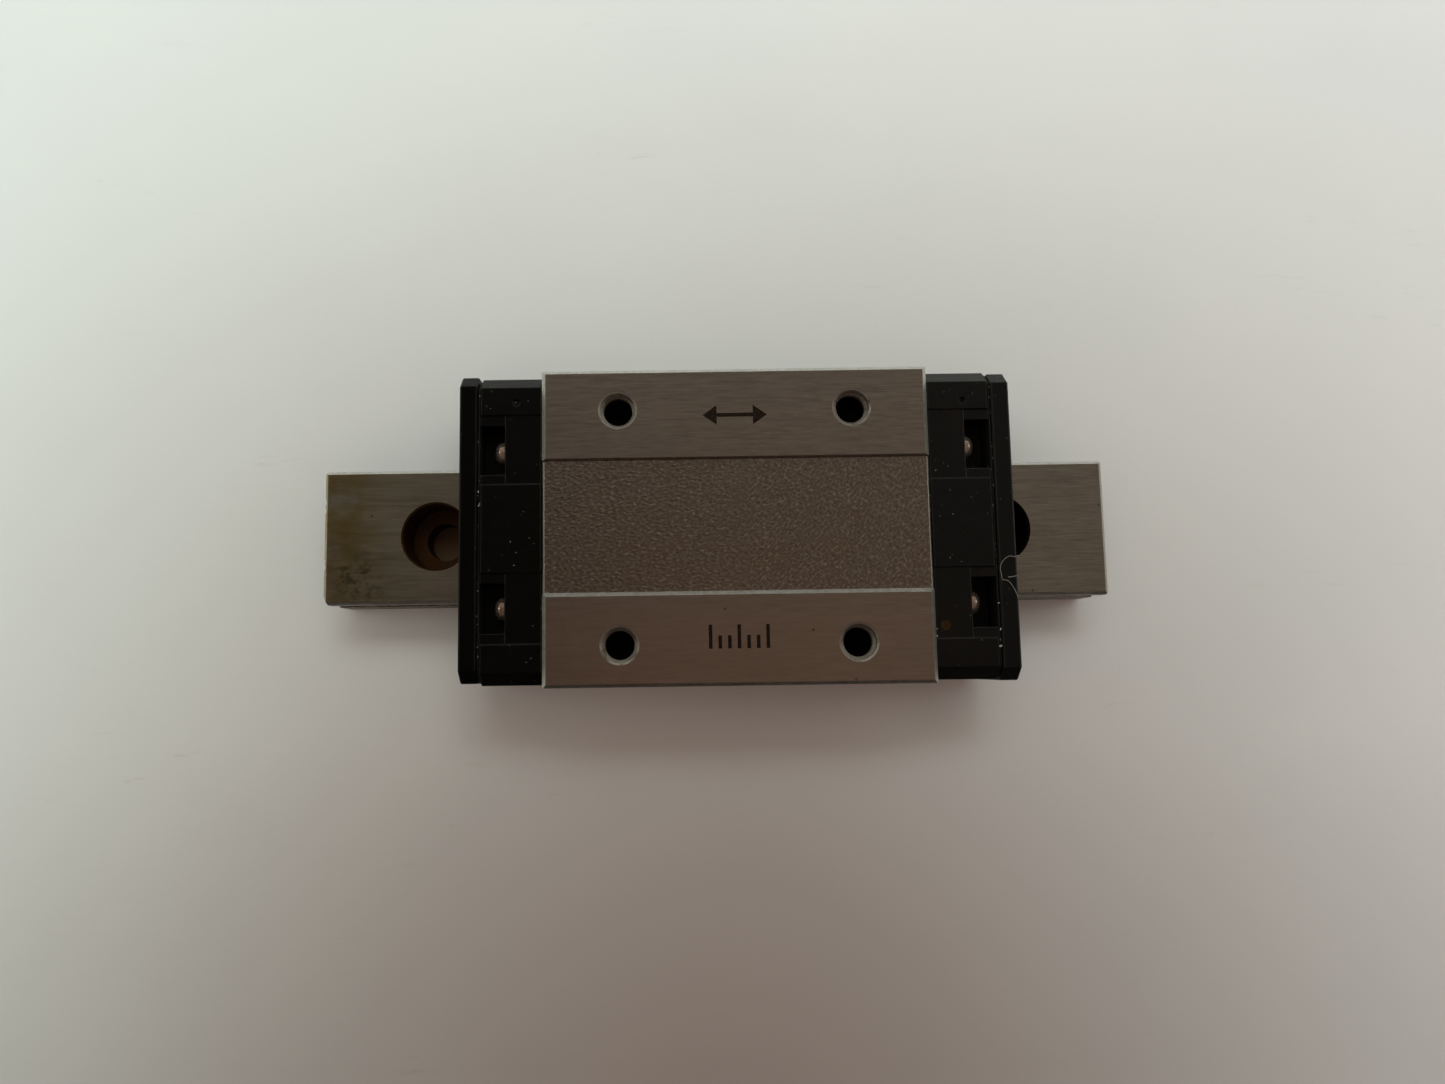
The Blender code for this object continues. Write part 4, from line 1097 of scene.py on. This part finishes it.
def build_seal(side, material):
    low, high = box_mm(f"end_seal_{side}")
    width = float(high[1])
    top = float(high[2])
    wall = 6.1
    lip = GROOVE_RADIUS - 0.1
    opening = opening_angle(lip, wall)
    half = [(width - 1.0, top, 0.08), (width, top - 1.1, 0.08), (width, 3.5, 0.08), (wall, 3.5, 0.05)]
    half += arc((GROOVE_Y, GROOVE_Z), lip, 360.0 - opening, opening, 16)
    half += [(wall, 7.25, 0.03), (wall - 0.25, 7.6, 0.03)]
    reach = (float(low[0]), float(high[0]))
    seal = prism(f"seal_{side}", both_sides(half), *reach, 0.03, material)
    carve(seal, [grease_bore(f"seal_hole_{side}", (reach[0] - 1.0, reach[1] + 1.0), material)])
    finish_piece(seal, "carriage", [f"end_seal_{side}"])


def build_plate(side, side_sign, plastic, dark):
    x0, x1 = span(side_sign, PLATE_INNER, PLATE_OUTER)
    plate = prism(f"plate_{side}", both_sides(cap_half(False)), x0, x1, 0.12, plastic)
    gx = span(side_sign, PLATE_INNER - 1.0, PLATE_OUTER + 1.0)
    tools = [grease_bore(f"plate_grease_{side}", gx, dark)]
    mouth = [(0.0, 0.0), (1.0, 0.0), (1.15, 0.12), (1.15, 0.5), (0.0, 0.5)]
    axis = "X" if side_sign > 0 else "-X"
    face = CENTRE_X + side_sign * (PLATE_OUTER - 0.2)
    tools.append(lathe(f"plate_dish_{side}", mouth, (face, 0.0, GREASE_Z), axis, 40, plastic))
    carve(plate, tools)
    plate.data.transform(Matrix.Translation((0.0, PLATE_SHIFT[side], 0.0)))
    finish_piece(plate, "carriage", [f"end_plate_{side}"])


def build_screw(side, side_sign, flank, flank_sign, material):
    """A domed cross-head screw seated on the window's inner wall."""
    label = f"{side}_{flank}"
    seat = CENTRE_X + side_sign * (WINDOW_WALL + 0.04)
    rim = 0.34
    dome = [(0.0, -6.4), (0.3, -6.4), (0.55, -6.1), (0.55, 0.0), (HEAD_RADIUS - 0.04, 0.0)]
    dome += [(HEAD_RADIUS, 0.05), (HEAD_RADIUS, rim)]
    for step in range(1, 8):
        angle = math.radians(90.0 * step / 8)
        dome.append((HEAD_RADIUS * math.cos(angle) ** 0.85, rim + (HEAD_HEIGHT - rim) * math.sin(angle)))
    dome.append((0.0, HEAD_HEIGHT))
    axis = "X" if side_sign > 0 else "-X"
    y = flank_sign * SCREW_Y
    screw = lathe(f"screw_{label}", dome, (seat, y, SCREW_Z), axis, 48, material)
    x0, x1 = sorted((seat + side_sign * 0.62, seat + side_sign * 1.6))
    arms = []
    for arm_name, wide, tall in (("level", 0.6, 0.13), ("upright", 0.13, 0.6)):
        arm = block(f"arm_{arm_name}_{label}", (x0, -wide, -tall), (x1, wide, tall), 0.0, material)
        arm.data.transform(Matrix.Rotation(0.5 + flank_sign * 0.3 + side_sign * 0.7, 4, "X"))
        arm.data.transform(Matrix.Translation((0.0, y, SCREW_Z)))
        arms.append(arm)
    carve(screw, arms)
    finish_piece(screw, "carriage", [f"cap_screw_{label}"], 40.0)


def build_dust(material):
    """Flakes of lint and dust caught along the seams and strewn on the caps."""
    source = random.Random(23)
    seams = (CAP_OUTER + 0.06, CAP_OUTER + 0.20, CAP_INNER + 0.02)
    band_top = CAP_TOP - BAND_DEPTH
    places = []
    for side_sign, count in ((-1, 15), (1, 20)):
        for _ in range(count):
            seam = CENTRE_X + side_sign * source.choice(seams)
            places.append((seam + source.uniform(-0.04, 0.04), source.uniform(-12.0, 12.0), 12.36, 0.032))
        for _ in range(16):
            x = CENTRE_X + side_sign * source.uniform(16.8, 21.4)
            y = source.choice((-1, 1)) * source.uniform(0.2, 11.6)
            shelf = BAND_INNER < abs(y) < BAND_OUTER
            if not (shelf and abs(x - CENTRE_X) > WINDOW_WALL - 0.2):
                places.append((x, y, band_top if shelf else CAP_TOP, 0.026))
    for away, y, size in SEAM_LINT:
        places.append((CENTRE_X + away, y, CAP_TOP - 0.05, size))
    work = bmesh.new()
    for x, y, z, size in places:
        radius = size * source.uniform(0.6, 1.5)
        flake = bmesh.ops.create_icosphere(work, subdivisions=1, radius=radius)["verts"]
        stretch = Vector((source.uniform(0.6, 2.2), source.uniform(0.6, 1.4), 0.45))
        bmesh.ops.scale(work, vec=stretch, verts=flake)
        turn = Matrix.Rotation(source.uniform(0.0, math.pi), 3, "Z")
        bmesh.ops.rotate(work, cent=(0.0, 0.0, 0.0), matrix=turn, verts=flake)
        bmesh.ops.translate(work, vec=(x, y, z), verts=flake)
    dust = new_object("seam_dust", mesh_of("seam_dust", work), material)
    to_metres(dust)
    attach(dust, "carriage")


def build_hairs(material):
    """Fine hairs of lint lying on the end plates."""
    verts = []
    faces = []
    sides = 6
    radius = 0.02
    for path in (HAIR_LONG, HAIR_SHORT, HAIR_STUB):
        points = [Vector((CENTRE_X + x, y, z)) for x, y, z in smoothed(path)]
        base = len(verts)
        for index, point in enumerate(points):
            ahead = points[min(index + 1, len(points) - 1)] - points[max(index - 1, 0)]
            across = Vector((-ahead.y, ahead.x, 0.0)).normalized()
            for step in range(sides):
                angle = 2 * math.pi * step / sides
                offset = across * math.cos(angle) + Vector((0.0, 0.0, 1.0)) * math.sin(angle)
                verts.append(tuple(point + offset * radius))
        faces += skin(len(points), sides, base)
    hairs = solid("plate_hairs", verts, faces, material)
    finish_piece(hairs, "carriage", (), 180.0)


def smoothed(path, parts=6):
    """Points of a smooth curve through the given points."""
    points = [Vector(point) for point in path]
    points = [points[0] * 2 - points[1]] + points + [points[-1] * 2 - points[-2]]
    curve = []
    for a, b, c, d in zip(points, points[1:], points[2:], points[3:]):
        for step in range(parts):
            t = step / parts
            bend = b * 2 + (c - a) * t + (a * 2 - b * 5 + c * 4 - d) * t**2
            curve.append((bend + (b * 3 - a - c * 3 + d) * t**3) / 2)
    curve.append(points[-2])
    return curve


def build_rust_spot(material):
    """A round spot of rust dust on the right cap."""
    source = random.Random(8)
    outline = []
    for step in range(18):
        angle = 2 * math.pi * step / 18
        radius = 0.42 * source.uniform(0.86, 1.08)
        outline.append((RUST_SPOT[0] + radius * math.cos(angle), RUST_SPOT[1] + radius * math.sin(angle)))
    floor = CAP_TOP - BAND_DEPTH
    spot = upright("rust_spot", [outline], floor - 0.03, floor + 0.012, material)
    finish_piece(spot, "carriage")


def rust_dust(name):
    n = Nodes(name)
    grit = n.noise(5.0, rough=0.7)
    ring = n.near_line(RUST_SPOT, RUST_SPOT, 0.42)
    colour = n.mix(n.ramp(grit, 0.35, 0.65), (0.040, 0.018, 0.006), (0.075, 0.034, 0.010))
    colour = n.mix(n.times(ring, 0.6), colour, (0.018, 0.010, 0.005))
    return n.set(Base_Color=colour, Roughness=0.9, Normal=n.bump(grit, 0.02, 0.6), Specular_IOR_Level=0.1)


def dust_flakes(name):
    n = Nodes(name)
    tint = n.noise(1.5, detail=2.0)
    return n.set(Base_Color=n.mix(tint, (0.25, 0.24, 0.21), (0.62, 0.62, 0.58)), Roughness=0.9)


def build_balls(material):
    """Each ball is turned round finer than its CAD solid."""
    work = bmesh.new()
    bmesh.ops.create_icosphere(work, subdivisions=4, radius=BALL_RADIUS * MM)
    mesh = mesh_of("fine_ball", work)
    mesh.shade_smooth()
    mesh.materials.append(material)
    for body in ("loaded_balls", "return_balls"):
        for node in frame["record"]["behaviour"]["bodies"][body]:
            low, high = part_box(node)
            ball = new_object("fine_" + node, mesh)
            ball.location = (Vector(low) + Vector(high)) / 2
            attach(ball, body)
            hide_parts(node)


def dress_node(node, material):
    """A CAD node whose shape stays gets its real finish."""
    item = frame["nodes"][node]
    if not item.material_slots:
        item.data.materials.append(material)
    for slot in item.material_slots:
        slot.link = "OBJECT"
        slot.material = material


# ---------------------------------------------------------------- stage


def build_floor(material):
    """A large board, slightly uneven, under the rail."""
    size = 2400.0
    count = 120
    verts = []
    source = random.Random(5)
    for row in range(count + 1):
        for column in range(count + 1):
            x = (column / count - 0.5) * size
            y = (row / count - 0.5) * size
            away = min(1.0, math.hypot(x, y) / 120.0)
            verts.append((x, y, -0.02 - 0.15 * away * source.random()))
    floor = solid("floor_board", verts, grid(count + 1, count + 1), material)
    to_metres(floor)
    floor.data.shade_smooth()


def area_light(name, position, size, power, colour):
    """A soft rectangle of light aimed at the origin; it stays out of the reflections."""
    data = bpy.data.lights.new(name, "AREA")
    data.shape = "RECTANGLE"
    data.size = size[0] * MM
    data.size_y = size[1] * MM
    data.energy = power
    data.color = colour
    light = bpy.data.objects.new(name, data)
    bpy.context.scene.collection.objects.link(light)
    light.location = Vector(position) * MM
    light.rotation_euler = (-light.location).to_track_quat("-Z", "Y").to_euler()
    light.visible_glossy = False


def colour_stops(n, value, stops):
    """The colour at a value between stops of (position, colour)."""
    ramp = n.add("ValToRGB", Fac=value)
    while len(ramp.color_ramp.elements) < len(stops):
        ramp.color_ramp.elements.new(0.5)
    for element, (position, colour) in zip(ramp.color_ramp.elements, stops):
        element.position = position
        element.color = (*colour, 1.0)
    return ramp.outputs["Color"]


def build_world():
    """A room bright on its +Y side, dark behind the near side and warm overhead; the lens sees it pale."""
    world = bpy.data.worlds.new("room")
    bpy.context.scene.world = world
    n = Nodes("room", world)
    direction = n.texture.outputs["Generated"]
    across = n.ramp(n.split(direction, "Y"), -1.0, 1.0)
    height = n.ramp(n.split(direction, "Z"), 0.30, 0.62)
    room = n.mix(height, colour_stops(n, across, ROOM_HORIZON), colour_stops(n, across, ROOM_UPPER))
    for glare, reach, colour in ROOM_GLARES:
        _, nearness = n.vector("DOT_PRODUCT", direction, Vector(glare).normalized())
        edge, core = (math.cos(math.radians(angle)) for angle in (reach, reach * 0.7))
        room = n.mix(n.ramp(nearness, edge, core), room, colour)
    lit = n.mix(n.rays("Diffuse"), room, ROOM_FILL)
    n.set(Color=n.mix(n.rays("Camera"), lit, BACKDROP))


def build_shade(height, centre, half):
    """A warm dark board held over the set: it glows as a light, dim in the steel's reflections and
    brighter for diffuse rays; it dims the floor below and shows in the steel.
    """
    low = (centre[0] - half[0], centre[1] - half[1], height)
    high = (centre[0] + half[0], centre[1] + half[1], height + 2.0)
    board = block("shade_board", low, high, 0.5)
    to_metres(board)
    n = Nodes("shade_board_look")
    side = n.ramp(n.axis("Y"), -45.0, 25.0)
    glow = n.mix(side, SHADE_NEAR, SHADE_FAR)
    # The glow is darker towards the left and brighter towards the right, so the left of the part reflects
    # less light.
    left = n.ramp(n.axis("X"), -20.0, -40.0)
    right = n.ramp(n.axis("X"), -5.0, 45.0)
    glow = n.mix(left, glow, toned(SHADE_FAR, 0.18))
    glow = n.mix(right, glow, toned(SHADE_FAR, 1.25))
    look = n.set(
        Base_Color=(0.02, 0.016, 0.013),
        Roughness=0.8,
        Emission_Color=n.mix(n.rays("Diffuse"), glow, SHADE_DIFFUSE),
        Emission_Strength=1.0,
    )
    board.data.materials.append(look)
    board.visible_camera = False


def build_camera():
    """Looks almost straight down, leaning a little from the near side."""
    data = bpy.data.cameras.new("camera")
    data.sensor_width = 36.0
    data.lens = CAMERA_LENS
    data.shift_x, data.shift_y = CAMERA_SHIFT
    data.clip_start = 0.005
    data.clip_end = 10.0
    camera = bpy.data.objects.new("camera", data)
    bpy.context.scene.collection.objects.link(camera)
    to_camera = Matrix.Rotation(CAMERA_TURN, 4, "Z") @ Matrix.Rotation(CAMERA_TILT, 4, "X")
    place = Vector(CAMERA_PLACE) * MM
    camera.matrix_world = Matrix.Translation(place) @ to_camera.transposed()
    bpy.context.scene.camera = camera


# ---------------------------------------------------------------- build


def main():
    pads = ground_steel("pads_ground", (0.455, 0.41, 0.37), 0.34, None, 0.5)
    rail_top = ground_steel("rail_ground", (0.48, 0.45, 0.41), 0.34, rail_stain)
    flank_steel = ground_steel("flanks_ground", (0.46, 0.43, 0.40), 0.42)
    # A darker copy of the rail's steel for its sides and ends: painted shade.
    rail_sides_painted_shade = ground_steel("rail_flanks", (0.22, 0.20, 0.17), 0.5)
    raceway = ground_steel("raceway_ground", (0.55, 0.53, 0.50), 0.25, None, 0.0, 0.5)
    edge = edge_steel("chamfer_bright", (0.62, 0.60, 0.56), 0.34)
    recess = blasted_steel("recess_blasted", (0.365, 0.322, 0.286))
    rust = rusted_hole("hole_rust", (0.034, 0.013, 0.004), (0.06, 0.04, 0.025))
    thread = rusted_hole("thread_steel", (0.020, 0.011, 0.007), (0.50, 0.45, 0.39), 0.50, TOP - 0.25)
    # Near-black lining for the hole bottoms and one rail bore: painted shade.
    painted_shade_lining = rusted_hole("hole_bottom", (0.004, 0.003, 0.002), (0.01, 0.008, 0.006))
    # The left cap and plate take darker copies of the plastic, with fewer scuffs and less sheen: painted
    # shade on the left side.
    caps = {
        "left": black_plastic("cap_left_look", (0.0011, 0.0008, 0.0004), 0.42, 0.25, sheen=0.22),
        "right": black_plastic("cap_right_look", (0.0030, 0.0028, 0.0026), 0.42, 0.45),
    }
    upright_flow = (3.0, 3.0, 0.6)
    plates = {
        "left": black_plastic("plate_left_look", (0.0004, 0.0003, 0.0002), 0.48, 0.15, upright_flow, 0.16),
        "right": black_plastic("plate_right_look", (0.0022, 0.0022, 0.0022), 0.48, 0.40, upright_flow),
    }
    # A rougher, less scuffed plastic lines the windows, pockets and bores: painted shade that keeps them
    # dark.
    pocket = black_plastic("pocket_plastic_look", (0.002, 0.002, 0.002), 0.6, 0.2)
    seal = seal_sheet("seal_look", (0.010, 0.010, 0.0095))
    screw = bright_steel("screw_look", (0.66, 0.52, 0.42), 0.24, 0.9)
    ball = bright_steel("ball_look", (0.74, 0.74, 0.75), 0.10)
    wire = bright_steel("wire_look", (0.58, 0.57, 0.55), 0.22)
    guide = pale_plastic("guide_look", (0.56, 0.54, 0.48))
    mark = etched_mark("mark_look")

    build_rail(rail_top, rail_sides_painted_shade, edge, rust, painted_shade_lining, raceway)
    build_block(pads, edge, recess, thread, painted_shade_lining, raceway, flank_steel)
    etched_marks(mark)
    for side, side_sign in SIDES.items():
        build_cap(side, side_sign, caps[side], pocket)
        build_seal(side, seal)
        build_plate(side, side_sign, plates[side], pocket)
        for flank, flank_sign in FLANKS.items():
            build_screw(side, side_sign, flank, flank_sign, screw)
            dress_node(f"return_guide_{side}_{flank}", guide)
    for flank in FLANKS:
        dress_node(f"retaining_wire_{flank}", wire)
    build_balls(ball)
    lint = dust_flakes("dust_look")
    build_dust(lint)
    build_hairs(lint)
    build_rust_spot(rust_dust("rust_dust_look"))

    build_floor(floor_paper("floor_look"))
    build_world()
    area_light("ceiling", (-75.0, 100.0, 833.0), (1000.0, 686.0), 9.0, (0.88, 1.0, 0.97))
    build_shade(111.0, (-12.0, -45.0), (67.5, 77.0))
    build_camera()
    bpy.context.scene.view_settings.view_transform = "Standard"
    bpy.context.scene.view_settings.look = "None"


main()
